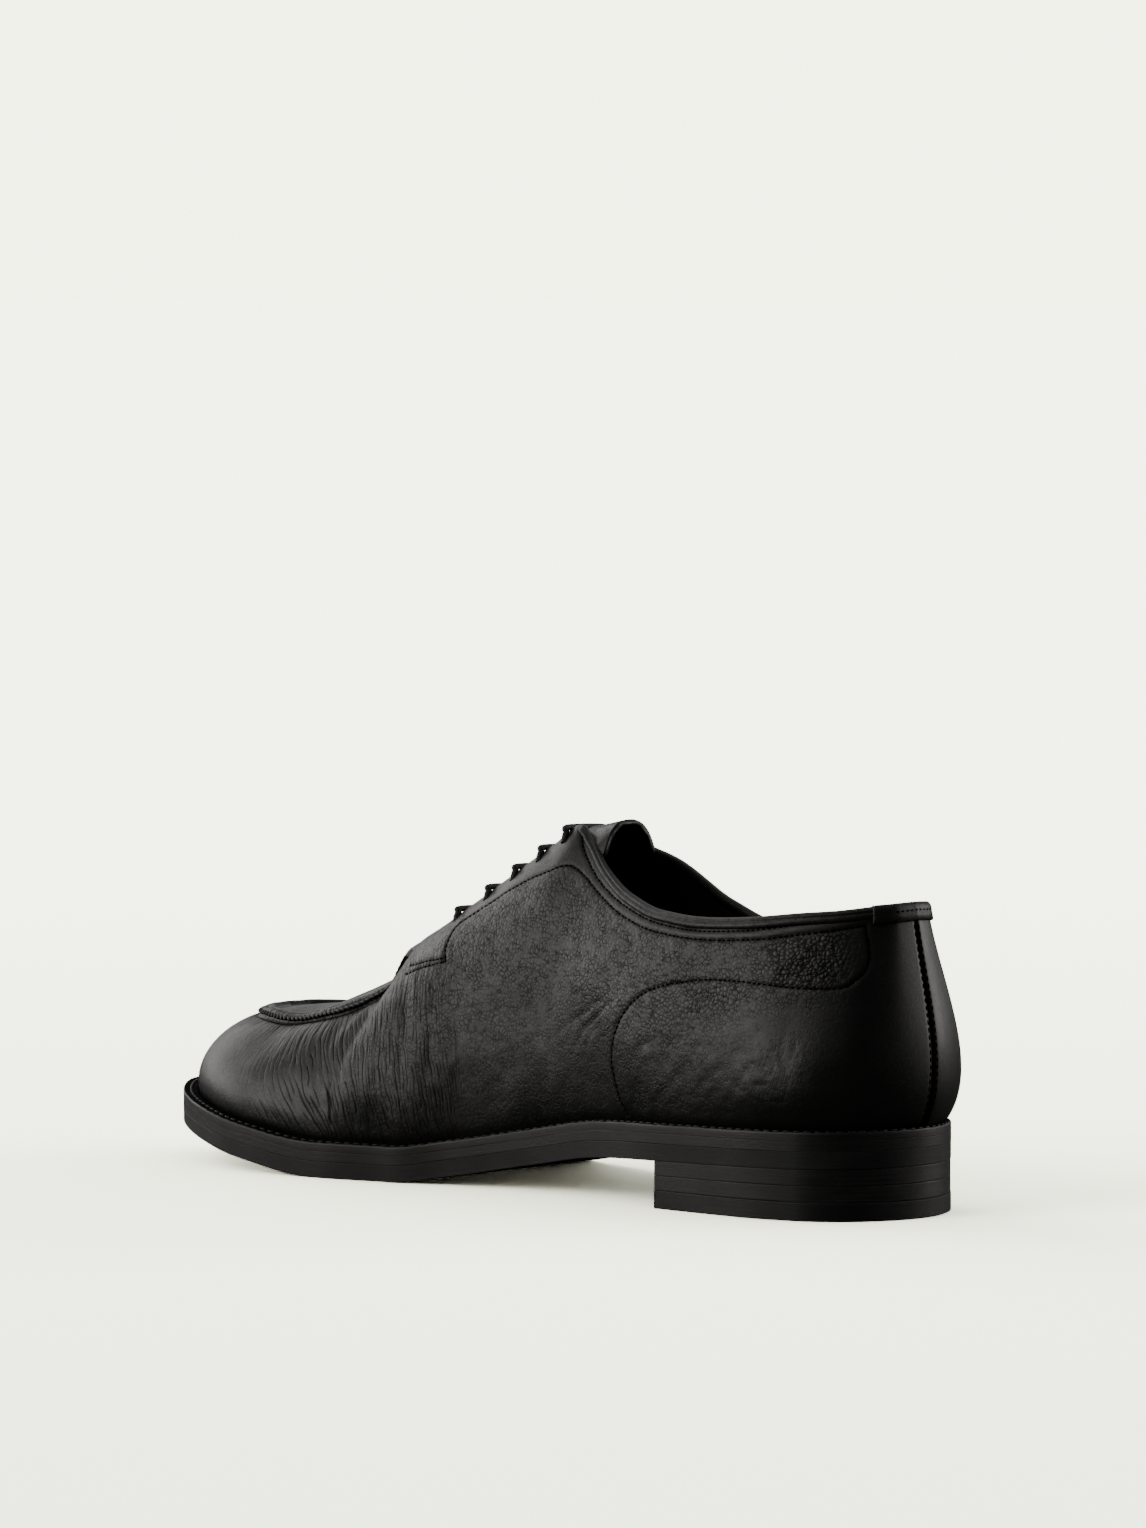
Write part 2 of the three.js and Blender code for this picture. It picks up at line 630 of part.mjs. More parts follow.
// The heel tab: a strip folded over the topline at the back
function heelTab() {
  const { corners, strip, quad } = gather();
  const widthAt = (q) => edgePoint(q).y - edgePoint(-q).y;
  const reach = spread(0, 0.3, 300).find((q) => widthAt(q) >= tabWidth);
  const sections = spread(-reach, reach, 12).map((q) => {
    const place = (below, off) => {
      const s = shareBelow(q, Math.max(below, 0));
      const point = sidePoint(q, s).addScaledVector(sideNormal(q, s), off);
      point.z -= Math.min(below, 0);
      return point;
    };
    const near = beadProud + clearance;
    const far = near + tabThickness;
    const inside = -wall - clearance;
    return [
      place(tabDepth, near),
      place(tabDepth, far),
      place(0.3 * tabDepth, far),
      place(-clearance - tabThickness, far - tabThickness / 2),
      place(-clearance - tabThickness, inside - tabThickness / 2),
      place(0.7 * tabDepth, inside - tabThickness),
      place(0.7 * tabDepth, inside),
      place(-clearance, inside),
      place(-clearance, near),
    ];
  });
  for (let i = 0; i < sections.length - 1; i += 1) strip(sections[i + 1], sections[i], true);
  const cap = (s, turn) => {
    const faces = [[0, 1, 2, 8], [2, 3, 8], [3, 4, 7, 8], [4, 5, 7], [5, 6, 7]];
    for (const face of faces) {
      const points = face.map((k) => s[k]);
      if (turn) points.reverse();
      quad(points[0], points[1], points[2], points[3] ?? points[0]);
    }
  };
  cap(sections[0], true);
  cap(sections.at(-1), false);
  return geometryOf(corners);
}

// A lace bar: out of the inner hole, over both facing edges and into the outer hole
function laceBar(t) {
  const over = 1.1 * laceRadius + clearance;
  const place = (q, below, off) => {
    const s = shareBelow(q, below);
    return sidePoint(q, s).addScaledVector(sideNormal(q, s), off);
  };
  const half = (q) => [
    place(q, holeInset, -0.6 * wall),
    place(q, holeInset - 0.1 * laceRadius, 0.35 * over),
    place(q, holeInset - 0.8 * laceRadius, 0.9 * over),
    place(q, 0.6 * holeInset, over),
    place(q, 0.1 * holeInset, over),
  ];
  const points = [...half(t), ...half(-t).reverse()];
  const path = new THREE.CatmullRomCurve3(points, false, 'centripetal');
  const round = new THREE.Shape();
  round.setFromPoints(
    spread(0, 2 * Math.PI, laceSides)
      .slice(0, -1)
      .map((angle) => new THREE.Vector2(Math.cos(angle), Math.sin(angle)).multiplyScalar(laceRadius)),
  );
  return new THREE.ExtrudeGeometry(round, { extrudePath: path, steps: 20 });
}

const material = (color, roughness) => new THREE.MeshStandardMaterial({ color, roughness, metalness: 0 });
const leather = material(leatherColour, 0.5);
const smoothLeather = material(smoothLeatherColour, 0.35);
const rubber = material(rubberColour, 0.6);
const lining = material(liningColour, 0.8);
const cord = material(laceColour, 0.7);

const shoe = new THREE.Group();

function add(name, geometry, finish) {
  const mesh = new THREE.Mesh(geometry, finish);
  mesh.name = name;
  shoe.add(mesh);
}

function addHeel() {
  const breast = heelLength / soleLength;
  add('top_lift', layer(() => 0, () => topLiftThickness, () => 0, 0, breast), rubber);
  const seat = (x) => outsoleBottom(x) - clearance;
  const floor = topLiftThickness + clearance;
  for (let i = 0; i < liftCount; i += 1) {
    const level = (part) => (x) => THREE.MathUtils.lerp(floor, seat(x), part / liftCount);
    const bottom = (x) => level(i)(x) + (i === 0 ? 0 : clearance);
    add(`heel_lift_${i + 1}`, layer(bottom, level(i + 1), () => liftInset, 0, breast), smoothLeather);
  }
}

add('upper', upper(), leather);
add('tongue', tongue(), leather);
add('insole', insole(), lining);
add('welt', welt(), smoothLeather);
const midsoleFloor = (x) => outsoleTop(x) + clearance;
add('midsole', layer(midsoleFloor, midsoleTop, () => midsoleInset), smoothLeather);
add('outsole', layer(outsoleBottom, outsoleTop, () => 0), rubber);
addHeel();
add('heel_tab', heelTab(), smoothLeather);
laceHoles().forEach((t, i) => add(`lace_bar_${i + 1}`, laceBar(t), cord));

// Origin: on the floor, in the middle of the box round the shoe
shoe.updateMatrixWorld(true);
const box = new THREE.Box3().setFromObject(shoe);
const centre = box.getCenter(vec(0, 0, 0));
shoe.position.set(-centre.x, -centre.y, -box.min.z);

export default shoe;
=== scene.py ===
"""The looks of a right split toe derby in black grained leather.

Every length in the classes is in millimetres, in the shoe's own frame: x runs from the back of
the heel to the toe, y to the inner side of the foot and z up from the floor. Meshes are moved to
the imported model's frame, in metres, when they are made.
"""

import logging
import math
from dataclasses import dataclass, field
from enum import Enum
from typing import Callable, Sequence

import bmesh
import bpy
import numpy as np
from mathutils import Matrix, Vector


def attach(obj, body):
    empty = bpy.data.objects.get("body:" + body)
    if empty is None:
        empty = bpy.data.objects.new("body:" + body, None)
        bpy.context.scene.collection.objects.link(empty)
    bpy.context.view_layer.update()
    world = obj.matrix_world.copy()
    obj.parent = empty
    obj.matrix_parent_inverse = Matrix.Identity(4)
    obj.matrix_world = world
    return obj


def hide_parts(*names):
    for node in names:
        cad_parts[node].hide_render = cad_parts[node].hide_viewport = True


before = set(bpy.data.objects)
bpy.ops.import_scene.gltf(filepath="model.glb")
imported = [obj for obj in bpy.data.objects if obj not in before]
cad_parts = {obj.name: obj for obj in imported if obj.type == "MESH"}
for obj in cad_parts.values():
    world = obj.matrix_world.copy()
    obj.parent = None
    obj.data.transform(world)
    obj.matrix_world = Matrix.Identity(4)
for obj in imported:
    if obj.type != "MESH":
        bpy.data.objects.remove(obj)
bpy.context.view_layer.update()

LOG = logging.getLogger("derby")
MM = 0.001
SHIFT = np.array([-150.156, 2.451, 0.0])
Array = np.ndarray


class Side(Enum):
    """The two sides of the foot, as the sign of the way round the sole."""

    INNER = 1
    OUTER = -1


def in_frame(points: Array) -> Array:
    """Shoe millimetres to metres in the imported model's frame."""
    return (np.asarray(points, float) + SHIFT) * MM


def unit(vectors: Array) -> Array:
    """The vectors at length one."""
    length = np.linalg.norm(vectors, axis=-1, keepdims=True)
    return vectors / np.maximum(length, 1e-9)


def ease(low: float, high: float, value: Array) -> Array:
    """A soft step from 0 at low to 1 at high."""
    share = np.clip((np.asarray(value, float) - low) / (high - low), 0, 1)
    return share * share * (3 - 2 * share)


def bump_at(centre: float, half: float, value: Array) -> Array:
    """A soft hump of height one about a centre."""
    away = np.clip(np.abs(np.asarray(value, float) - centre) / half, 0, 1)
    return (1 - away * away) ** 2


def wrapped(q: Array) -> Array:
    """Ways round the sole, brought back between -1 and 1."""
    return np.where(q > 1, q - 2, np.where(q < -1, q + 2, q))


def run_along(points: Array) -> Array:
    """How far along a line each of its points lies."""
    return np.concatenate([[0], np.cumsum(np.linalg.norm(np.diff(points, axis=0), axis=1))])


class Column:
    """A smooth curve through one column of a table that never overshoots its rows."""

    def __init__(self, places: Sequence[float], values: Sequence[float]) -> None:
        """Fit the curve.

        Args:
            places: Where each row lies, rising.
            values: What the column says there.
        """
        self.places = np.asarray(places, float)
        self.values = np.asarray(values, float)
        slopes = np.diff(self.values) / np.diff(self.places)
        before, after = slopes[:-1], slopes[1:]
        turns = before * after <= 0
        both = np.where(turns, 1.0, before + after)
        inside = np.where(turns, 0.0, 2 * before * after / both)
        self.tangents = np.concatenate([[slopes[0]], inside, [slopes[-1]]])

    def __call__(self, at: Array) -> Array:
        """The column's value at a place, or at an array of places."""
        v = np.clip(at, self.places[0], self.places[-1])
        i = np.clip(np.searchsorted(self.places, v) - 1, 0, len(self.places) - 2)
        h = self.places[i + 1] - self.places[i]
        s = (v - self.places[i]) / h
        r = 1 - s
        start = self.values[i] * (1 + 2 * s) * r * r + self.tangents[i] * h * s * r * r
        end = self.values[i + 1] * s * s * (3 - 2 * s) - self.tangents[i + 1] * h * s * s * r
        return start + end


def curves(rows: Sequence[tuple], *picks: int) -> list[Column]:
    """A curve through each picked column of a table; its first column says where the rows lie."""
    return [Column([row[0] for row in rows], [row[k] for row in rows]) for k in picks]


@dataclass(frozen=True)
class Sizes:
    """The sizes that the part's solids are made from."""

    sole_length: float = 304
    ball_width: float = 102
    heel_width: float = 75
    heel_length: float = 78
    breast_height: float = 14.8
    heel_pitch: float = 1.5
    toe_spring: float = 14.5
    outsole: float = 5.4
    midsole: float = 3.2
    welt: float = 2.8
    top_lift: float = 5.8
    insole: float = 2.2
    ledge: float = 5
    wall: float = 2.1
    back: float = 96
    dip_in: float = 90.3
    dip_out: float = 84.5
    instep: float = 115
    throat_height: float = 60
    ring: float = 48.4
    collar: float = 60
    gap: float = 15
    apron: float = 49
    seam_height: float = 2
    seam_half: float = 3
    bead_depth: float = 3.2
    bead_proud: float = 0.5
    tab_width: float = 26
    tab_thick: float = 1.2
    hole_inset: float = 4.8
    hole_radius: float = 1.8
    lace_radius: float = 1.0
    tongue_thick: float = 1.8
    tongue_reach: float = 20
    tongue_drop: float = 7
    tongue_tip: float = 15
    clearance: float = 0.3
    facing_top: float = 0.47
    throat: float = 0.64
    first_hole: float = 0.482
    last_hole: float = 0.588
    toe_seam_height: float = 1.0
    toe_seam_half: float = 2.2


# along, half width, centre, share of the ball's width
OUTLINE_ROWS = (
    (0.0, 0.0, -0.01, 0), (0.012, 0.4, -0.01, 0), (0.04, 0.71, -0.009, 0), (0.08, 0.89, -0.007, 0),
    (0.15, 0.985, -0.005, 0), (0.25, 1.0, -0.011, 0), (0.35, 0.86, -0.034, 0.25),
    (0.45, 0.81, -0.058, 0.5), (0.55, 0.855, -0.061, 0.75), (0.62, 0.905, -0.056, 1),
    (0.7, 0.985, -0.04, 1), (0.76, 1.0, -0.022, 1), (0.82, 0.965, 0.0, 1), (0.88, 0.842, 0.019, 1),
    (0.94, 0.622, 0.029, 1), (0.975, 0.41, 0.03, 1), (0.993, 0.235, 0.028, 1), (1.0, 0.0, 0.027, 1),
)
# t, x, inner y, outer y, the width they are shares of, inner z, outer z, the heights they are of
EDGE_ROWS = (
    (0.0, 0.012, 0, 0, "collar", 1, 1, "back"),
    (0.05, 0.0145, 0.21, -0.2, "collar", 0.998, 0.998, "back"),
    (0.1, 0.028, 0.43, -0.41, "collar", 0.993, 0.99, "back"),
    (0.15, 0.055, 0.66, -0.64, "collar", 0.98, 0.972, "back"),
    (0.2, 0.094, 0.85, -0.84, "collar", 1.03, 1.072, "dip"),
    (0.26, 0.15, 0.99, -0.99, "collar", 1.01, 1.03, "dip"),
    (0.31, 0.212, 1, -1, "collar", 1, 1, "dip"),
    (0.36, 0.272, 0.93, -0.96, "collar", 1.013, 1.0, "dip"),
    (0.4, 0.329, 0.78, -0.82, "collar", 1.06, 1.083, "dip"),
    (0.43, 0.378, 0.58, -0.57, "collar", 0.893, 0.9, "instep"),
    (0.455, 0.417, 1.5, -0.95, "gap", 0.965, 0.962, "instep"),
    (0.47, 0.438, 1.2, -0.7, "gap", 1, 0.995, "instep"),
    (0.5, 0.478, 1.15, -0.65, "gap", 0.942, 0.937, "instep"),
    (0.56, 0.562, 1.2, -0.7, "gap", 0.809, 0.804, "instep"),
    (0.6, 0.624, 1.4, -0.9, "gap", 0.706, 0.701, "instep"),
    (0.625, 0.668, 0.52, -0.38, "apron", 0.625, 0.62, "instep"),
    (0.64, 0.682, 0.68, -0.6, "apron", 1, 0.985, "throat"),
    (0.66, 0.7, 0.84, -0.78, "apron", 0.935, 0.925, "throat"),
    (0.7, 0.743, 1.01, -0.95, "apron", 1.06, 1.055, "ring"),
    (0.76, 0.803, 1.01, -0.95, "apron", 0.985, 0.99, "ring"),
    (0.82, 0.845, 0.89, -0.83, "apron", 1, 0.99, "ring"),
    (0.88, 0.872, 0.66, -0.6, "apron", 1, 0.995, "ring"),
    (0.94, 0.888, 0.35, -0.29, "apron", 1, 1, "ring"),
    (1.0, 0.893, 0.03, 0.03, "apron", 1, 1, "ring"),
)
# t, belly, lift, shoulder, drop
SWELL_ROWS = (
    (0.0, 0.155, 0.25, 0.035, 0.32), (0.1, 0.165, 0.25, 0.045, 0.32), (0.2, 0.125, 0.24, 0.06, 0.32),
    (0.3, 0.09, 0.27, 0.07, 0.3), (0.4, 0.1, 0.29, 0.13, 0.25), (0.5, 0.085, 0.27, 0.245, 0.095),
    (0.6, 0.07, 0.25, 0.27, 0.09), (0.64, 0.06, 0.28, 0.21, 0.18), (0.7, 0.05, 0.36, 0.16, 0.16),
    (0.8, 0.04, 0.42, 0.17, 0.12), (0.9, 0.035, 0.42, 0.19, 0.11), (1.0, 0.03, 0.42, 0.2, 0.1),
)
# t, inner, outer
LEDGE_ROWS = (
    (0.0, 0.3, 0.3), (0.2, 0.4, 0.4), (0.4, 0.5, 0.6), (0.5, 0.6, 0.8), (0.65, 0.95, 1.0),
    (0.85, 1.05, 1.05), (1.0, 1.1, 1.1),
)
CROWN_ROWS = (
    (0.64, 0.15), (0.66, 0.165), (0.7, 0.14), (0.76, 0.08), (0.82, 0.045), (0.9, 0.018), (1.0, 0.0),
)
# Seam lines of the inner side, as shares round the sole and up the side
EDGE_SEAM = (
    (0.469, 0.985), (0.463, 0.95), (0.457, 0.93), (0.448, 0.918), (0.434, 0.917), (0.419, 0.923),
    (0.403, 0.931), (0.38, 0.935), (0.345, 0.935), (0.307, 0.936), (0.271, 0.94), (0.231, 0.947),
    (0.191, 0.957), (0.158, 0.965), (0.103, 0.972), (0.06, 0.974), (0.0, 0.975),
)
FACING_SEAM = (
    (0.572, 0.67), (0.577, 0.73), (0.579, 0.79), (0.577, 0.828), (0.571, 0.842), (0.559, 0.844),
    (0.54, 0.842), (0.519, 0.828), (0.493, 0.807), (0.48, 0.804), (0.471, 0.813), (0.464, 0.83),
    (0.457, 0.846), (0.449, 0.858), (0.437, 0.869), (0.422, 0.877), (0.405, 0.882), (0.371, 0.889),
    (0.33, 0.893), (0.293, 0.894), (0.263, 0.897), (0.229, 0.9), (0.196, 0.908), (0.164, 0.916),
    (0.143, 0.921), (0.116, 0.927),
)
COUNTER_SEAM = (
    (0.373, 0.035), (0.379, 0.12), (0.383, 0.21), (0.385, 0.297), (0.383, 0.383), (0.377, 0.473),
    (0.367, 0.553), (0.354, 0.613), (0.337, 0.657), (0.316, 0.69), (0.295, 0.708), (0.274, 0.712),
    (0.247, 0.706), (0.221, 0.694), (0.198, 0.682), (0.172, 0.673), (0.149, 0.67), (0.133, 0.675),
    (0.123, 0.7), (0.113, 0.73), (0.108, 0.777), (0.109, 0.837), (0.113, 0.893), (0.114, 0.92),
)
UPPER_BAR = ((0.573, 0.683), (0.583, 0.7), (0.599, 0.743), (0.613, 0.8))
LOWER_BAR = ((0.571, 0.663), (0.583, 0.68), (0.598, 0.712), (0.612, 0.753))
SEAMS = (EDGE_SEAM, FACING_SEAM, COUNTER_SEAM, UPPER_BAR, LOWER_BAR)
# How far a pleat drifts back on its way down to the welt
LEAN_ROWS = (
    (0.0, 0), (0.1, -6), (0.25, -16), (0.36, -10), (0.44, 12), (0.5, 26), (0.55, 38), (0.6, 38),
    (0.66, 30), (0.72, 17), (0.8, 5), (0.88, 0), (1.0, 0),
)
# Creases of the inner side: their way, depth and half width
CREASES = (
    (((0.386, 0.6), (0.391, 0.57), (0.398, 0.52), (0.408, 0.48), (0.415, 0.44), (0.426, 0.397),
      (0.438, 0.347), (0.446, 0.3)), 0.11, 1.0),
    (((0.374, 0.61), (0.381, 0.573), (0.389, 0.52), (0.399, 0.47), (0.409, 0.417), (0.416, 0.377),
      (0.421, 0.33), (0.426, 0.277), (0.43, 0.22)), 0.16, 1.05),
    (((0.388, 0.5), (0.392, 0.47), (0.399, 0.42), (0.409, 0.37), (0.413, 0.317), (0.418, 0.25)),
     0.09, 1.0),
    (((0.335, 0.44), (0.34, 0.413), (0.352, 0.373), (0.359, 0.327)), 0.12, 1.3),
    (((0.3, 0.13), (0.292, 0.193), (0.276, 0.287), (0.264, 0.337), (0.25, 0.37)), 0.1, 1.4),
    (((0.262, 0.1), (0.25, 0.22), (0.232, 0.33), (0.216, 0.38)), 0.08, 1.5),
    (((0.338, 0.08), (0.325, 0.2), (0.306, 0.3), (0.29, 0.37)), 0.08, 1.4),
    (((0.642, 0.4), (0.637, 0.3), (0.631, 0.2), (0.626, 0.06)), 0.34, 0.7),
    (((0.605, 0.72), (0.59, 0.5), (0.577, 0.28), (0.568, 0.14)), 0.25, 2.2),
    (((0.577, 0.6), (0.562, 0.4), (0.55, 0.22)), 0.22, 1.8),
    (((0.552, 0.55), (0.535, 0.35), (0.522, 0.16)), 0.2, 2.4),
    (((0.51, 0.5), (0.492, 0.3), (0.48, 0.13)), 0.18, 2.6),
    (((0.462, 0.48), (0.452, 0.3), (0.446, 0.15)), 0.15, 2.6),
)
# t, drop, rise
TONGUE_ROWS = (
    (0.47, 0.15, 0.12), (0.53, 0.13, 0.12), (0.56, 0.14, 0.13), (0.585, 0.26, 0.16),
    (0.61, 0.64, 0.22), (0.63, 1.0, 0.27),
)


class ShoeForm:
    """The surfaces of the shoe, worked out from its sizes and tables as the solids are."""

    def __init__(self, sizes: Sizes) -> None:
        """Fit the tables' curves.

        Args:
            sizes: The shoe's sizes.
        """
        self.sizes = sizes
        z = sizes
        angles = [math.acos(1 - 2 * row[0]) / math.pi for row in OUTLINE_ROWS]
        self.half, self.centre, self.front = (
            Column(angles, [row[k] for row in OUTLINE_ROWS]) for k in (1, 2, 3)
        )
        profile = (
            (0.0, z.breast_height + z.heel_pitch, 1), (z.heel_length / z.sole_length, z.breast_height, 1),
            (0.35, 0.9 * z.breast_height, 1), (0.45, 0.57 * z.breast_height, 1),
            (0.55, 0.2 * z.breast_height, 1), (0.62, 0, 1), (0.71, 0, 1),
            (0.8, 0.26 * z.toe_spring, 0.93), (0.9, 0.65 * z.toe_spring, 0.82), (1.0, z.toe_spring, 0.72),
        )
        self.under, self.thick = curves(profile, 1, 2)
        widths = {"collar": z.collar / 2, "gap": z.gap / 2, "apron": z.apron / 2}
        heights = {
            "back": (z.back, z.back), "dip": (z.dip_in, z.dip_out), "instep": (z.instep, z.instep),
            "throat": (z.throat_height, z.throat_height), "ring": (z.ring, z.ring),
        }
        (self.edge_x,) = curves(EDGE_ROWS, 1)
        self.edge_y, self.edge_z = {}, {}
        for side in (1, -1):
            y, top, which = (2, 5, 0) if side > 0 else (3, 6, 1)
            across = [(row[0], row[y] * widths[row[4]]) for row in EDGE_ROWS]
            high = [(row[0], row[top] * heights[row[7]][which]) for row in EDGE_ROWS]
            self.edge_y[side], self.edge_z[side] = curves(across, 1) + curves(high, 1)
        self.belly, self.lift, self.shoulder, self.drop = curves(SWELL_ROWS, 1, 2, 3, 4)
        inner, outer = curves(LEDGE_ROWS, 1, 2)
        self.ledge_share = {1: inner, -1: outer}
        (self.crown,) = curves(CROWN_ROWS, 1)
        self.tongue_fall, self.tongue_rise = curves(TONGUE_ROWS, 1, 2)

    def outsole_bottom(self, x: Array) -> Array:
        """Height of the outsole's underside."""
        return self.under(np.asarray(x, float) / self.sizes.sole_length)

    def outsole_top(self, x: Array) -> Array:
        """Height of the outsole's upper face."""
        share = self.thick(np.asarray(x, float) / self.sizes.sole_length)
        return self.outsole_bottom(x) + share * self.sizes.outsole

    def midsole_top(self, x: Array) -> Array:
        """Height of the midsole's upper face."""
        return self.outsole_top(x) + self.sizes.midsole

    def welt_top(self, x: Array) -> Array:
        """Height of the welt's upper face."""
        return self.midsole_top(x) + self.sizes.welt

    def outline(self, q: Array) -> Array:
        """The sole's edge in plan; q runs from 0 at the heel to 1 or -1 at the toe."""
        q = np.asarray(q, float)
        t = np.abs(q)
        along = (1 - np.cos(np.pi * t)) / 2
        front = self.front(t)
        width = self.sizes.heel_width * (1 - front) + self.sizes.ball_width * front
        side = np.where(q < 0, -1.0, 1.0)
        y = self.centre(t) * self.sizes.ball_width + side * self.half(t) * width / 2
        return np.stack([along * self.sizes.sole_length, y], -1)

    def outwards(self, q: Array) -> Array:
        """Plan direction away from the sole."""
        step = 0.004
        q = np.asarray(q, float)
        run = self.outline(wrapped(q + step)) - self.outline(wrapped(q - step))
        return unit(np.stack([-run[..., 1], run[..., 0], np.zeros_like(run[..., 0])], -1))

    def inset(self, q: Array, inset: Array) -> Array:
        """A point on the floor, an inset inside the sole's edge."""
        plan = self.outline(q)
        flat = np.concatenate([plan, np.zeros_like(plan[..., :1])], -1)
        return flat - self.outwards(q) * np.asarray(inset)[..., None]

    def ledge(self, q: Array) -> Array:
        """Width of welt that shows."""
        t = np.abs(q)
        share = np.where(np.asarray(q) > 0, self.ledge_share[1](t), self.ledge_share[-1](t))
        return self.sizes.ledge * share

    def edge(self, q: Array) -> Array:
        """The upper edge of the sides."""
        q = np.asarray(q, float)
        t = np.abs(q)
        y = np.where(q > 0, self.edge_y[1](t), self.edge_y[-1](t))
        z = np.where(q > 0, self.edge_z[1](t), self.edge_z[-1](t))
        return np.stack([self.edge_x(t) * self.sizes.sole_length, y, z], -1)

    def eased_edge(self, q: Array) -> Array:
        """The upper edge with its corners eased."""
        reach = 0.03
        q = np.asarray(q, float)
        t = np.abs(q)
        side = np.where(q > 0, 1.0, -1.0)
        behind = self.edge(side * np.maximum(t - reach, 0))
        ahead = self.edge(side * np.minimum(t + reach, 1))
        here = self.edge(q)
        soft = (behind + ahead) * 0.3 + here * 0.4
        end = (t < reach) | (t > 1 - reach)
        return np.where(end[..., None], here, soft)

    def foot(self, q: Array) -> Array:
        """Where the side meets the welt."""
        foot = self.inset(q, self.ledge(q))
        foot[..., 2] = self.welt_top(foot[..., 0])
        return foot

    def side(self, q: Array, s: Array) -> Array:
        """The side of the upper; s runs from 0 at the welt to 1 at the upper edge."""
        q, s = np.broadcast_arrays(np.asarray(q, float), np.asarray(s, float))
        t = np.abs(q)
        foot = self.foot(q)
        top = self.edge(q)
        rise = top[..., 2] - foot[..., 2]
        out = self.outwards(q)
        low = foot + out * (self.belly(t) * self.sizes.heel_width)[..., None]
        low[..., 2] += self.lift(t) * rise
        high = self.eased_edge(q) + out * (self.shoulder(t) * self.sizes.heel_width)[..., None]
        high[..., 2] -= self.drop(t) * rise
        s = s[..., None]
        r = 1 - s
        return foot * r**3 + low * 3 * r * r * s + high * 3 * r * s * s + top * s**3

    def side_normal(self, q: Array, s: Array) -> Array:
        """Outward direction of the side."""
        step = 0.004
        q, s = np.broadcast_arrays(np.asarray(q, float), np.asarray(s, float))
        run = self.side(wrapped(q + step), s) - self.side(wrapped(q - step), s)
        climb = self.side(q, np.minimum(s + step, 1)) - self.side(q, np.maximum(s - step, 0))
        return unit(np.cross(climb, run))

    def share_below(self, q: float, distance: float) -> float:
        """Share of the way up that lies a distance below the upper edge."""
        shares = np.linspace(1, 0, 161)
        points = self.side(np.full(161, q), shares)
        run = run_along(points)
        return float(np.interp(distance, run, shares))

    def below(self, q: float, distance: float, lift: float = 0.0) -> Array:
        """A point below the upper edge, a lift off the side."""
        s = self.share_below(q, distance)
        return self.side(q, s) + self.side_normal(q, s) * lift

    def apron_point(self, t: Array, c: Array) -> Array:
        """The apron; c runs from 0 at the inner seam to 1 at the outer one."""
        t, c = np.broadcast_arrays(np.asarray(t, float), np.asarray(c, float))
        point = self.edge(t) * (1 - c)[..., None] + self.edge(-t) * c[..., None]
        point[..., 2] += self.crown(t) * self.sizes.apron * (1 - (2 * c - 1) ** 2)
        return point


def grid_normals(points: Array, closed: bool) -> Array:
    """Normals of a grid of points, turned to the left of rows then columns.

    Args:
        points: Rows by columns by three.
        closed: Whether the rows join at the ends.

    Returns:
        Unit vectors in the grid's own shape.
    """
    if closed:
        run = np.roll(points, -1, 0) - np.roll(points, 1, 0)
    else:
        run = np.gradient(points, axis=0)
    return unit(np.cross(run, np.gradient(points, axis=1)))


def relaxed(points: Array, rounds: int, weight: Array, closed: bool) -> Array:
    """Smooth a grid along its rows without shrinking it.

    Args:
        points: Rows by columns by three.
        rounds: How many pairs of steps.
        weight: How freely each column moves, 0 to 1.
        closed: Whether the rows join at the ends.

    Returns:
        The smoothed grid.
    """
    points = points.copy()
    weight = np.asarray(weight)[None, :, None]
    for _ in range(rounds):
        for step in (0.5, -0.52):
            if closed:
                mean = (np.roll(points, 1, 0) + np.roll(points, -1, 0)) / 2
                points += step * weight * (mean - points)
            else:
                mean = (points[:-2] + points[2:]) / 2
                points[1:-1] += step * weight * (mean - points[1:-1])
    return points


class Noise:
    """Smooth two-way noise on a lattice, the same at every run."""

    def __init__(self, seed: int) -> None:
        """Draw the lattice's directions.

        Args:
            seed: Which pattern.
        """
        draw = np.random.default_rng(seed)
        angles = draw.uniform(0, 2 * math.pi, (256, 256))
        self.lattice = np.stack([np.cos(angles), np.sin(angles)], -1)

    def __call__(self, u: Array, v: Array) -> Array:
        """Noise from about -0.7 to 0.7 at places in lattice steps."""
        iu, iv = np.floor(u).astype(int), np.floor(v).astype(int)
        fu, fv = u - iu, v - iv
        su, sv = fu * fu * (3 - 2 * fu), fv * fv * (3 - 2 * fv)

        def corner(du: int, dv: int) -> Array:
            """The lattice's pull from one corner."""
            way = self.lattice[(iu + du) % 256, (iv + dv) % 256]
            return way[..., 0] * (fu - du) + way[..., 1] * (fv - dv)

        low = corner(0, 0) * (1 - su) + corner(1, 0) * su
        high = corner(0, 1) * (1 - su) + corner(1, 1) * su
        return low * (1 - sv) + high * sv


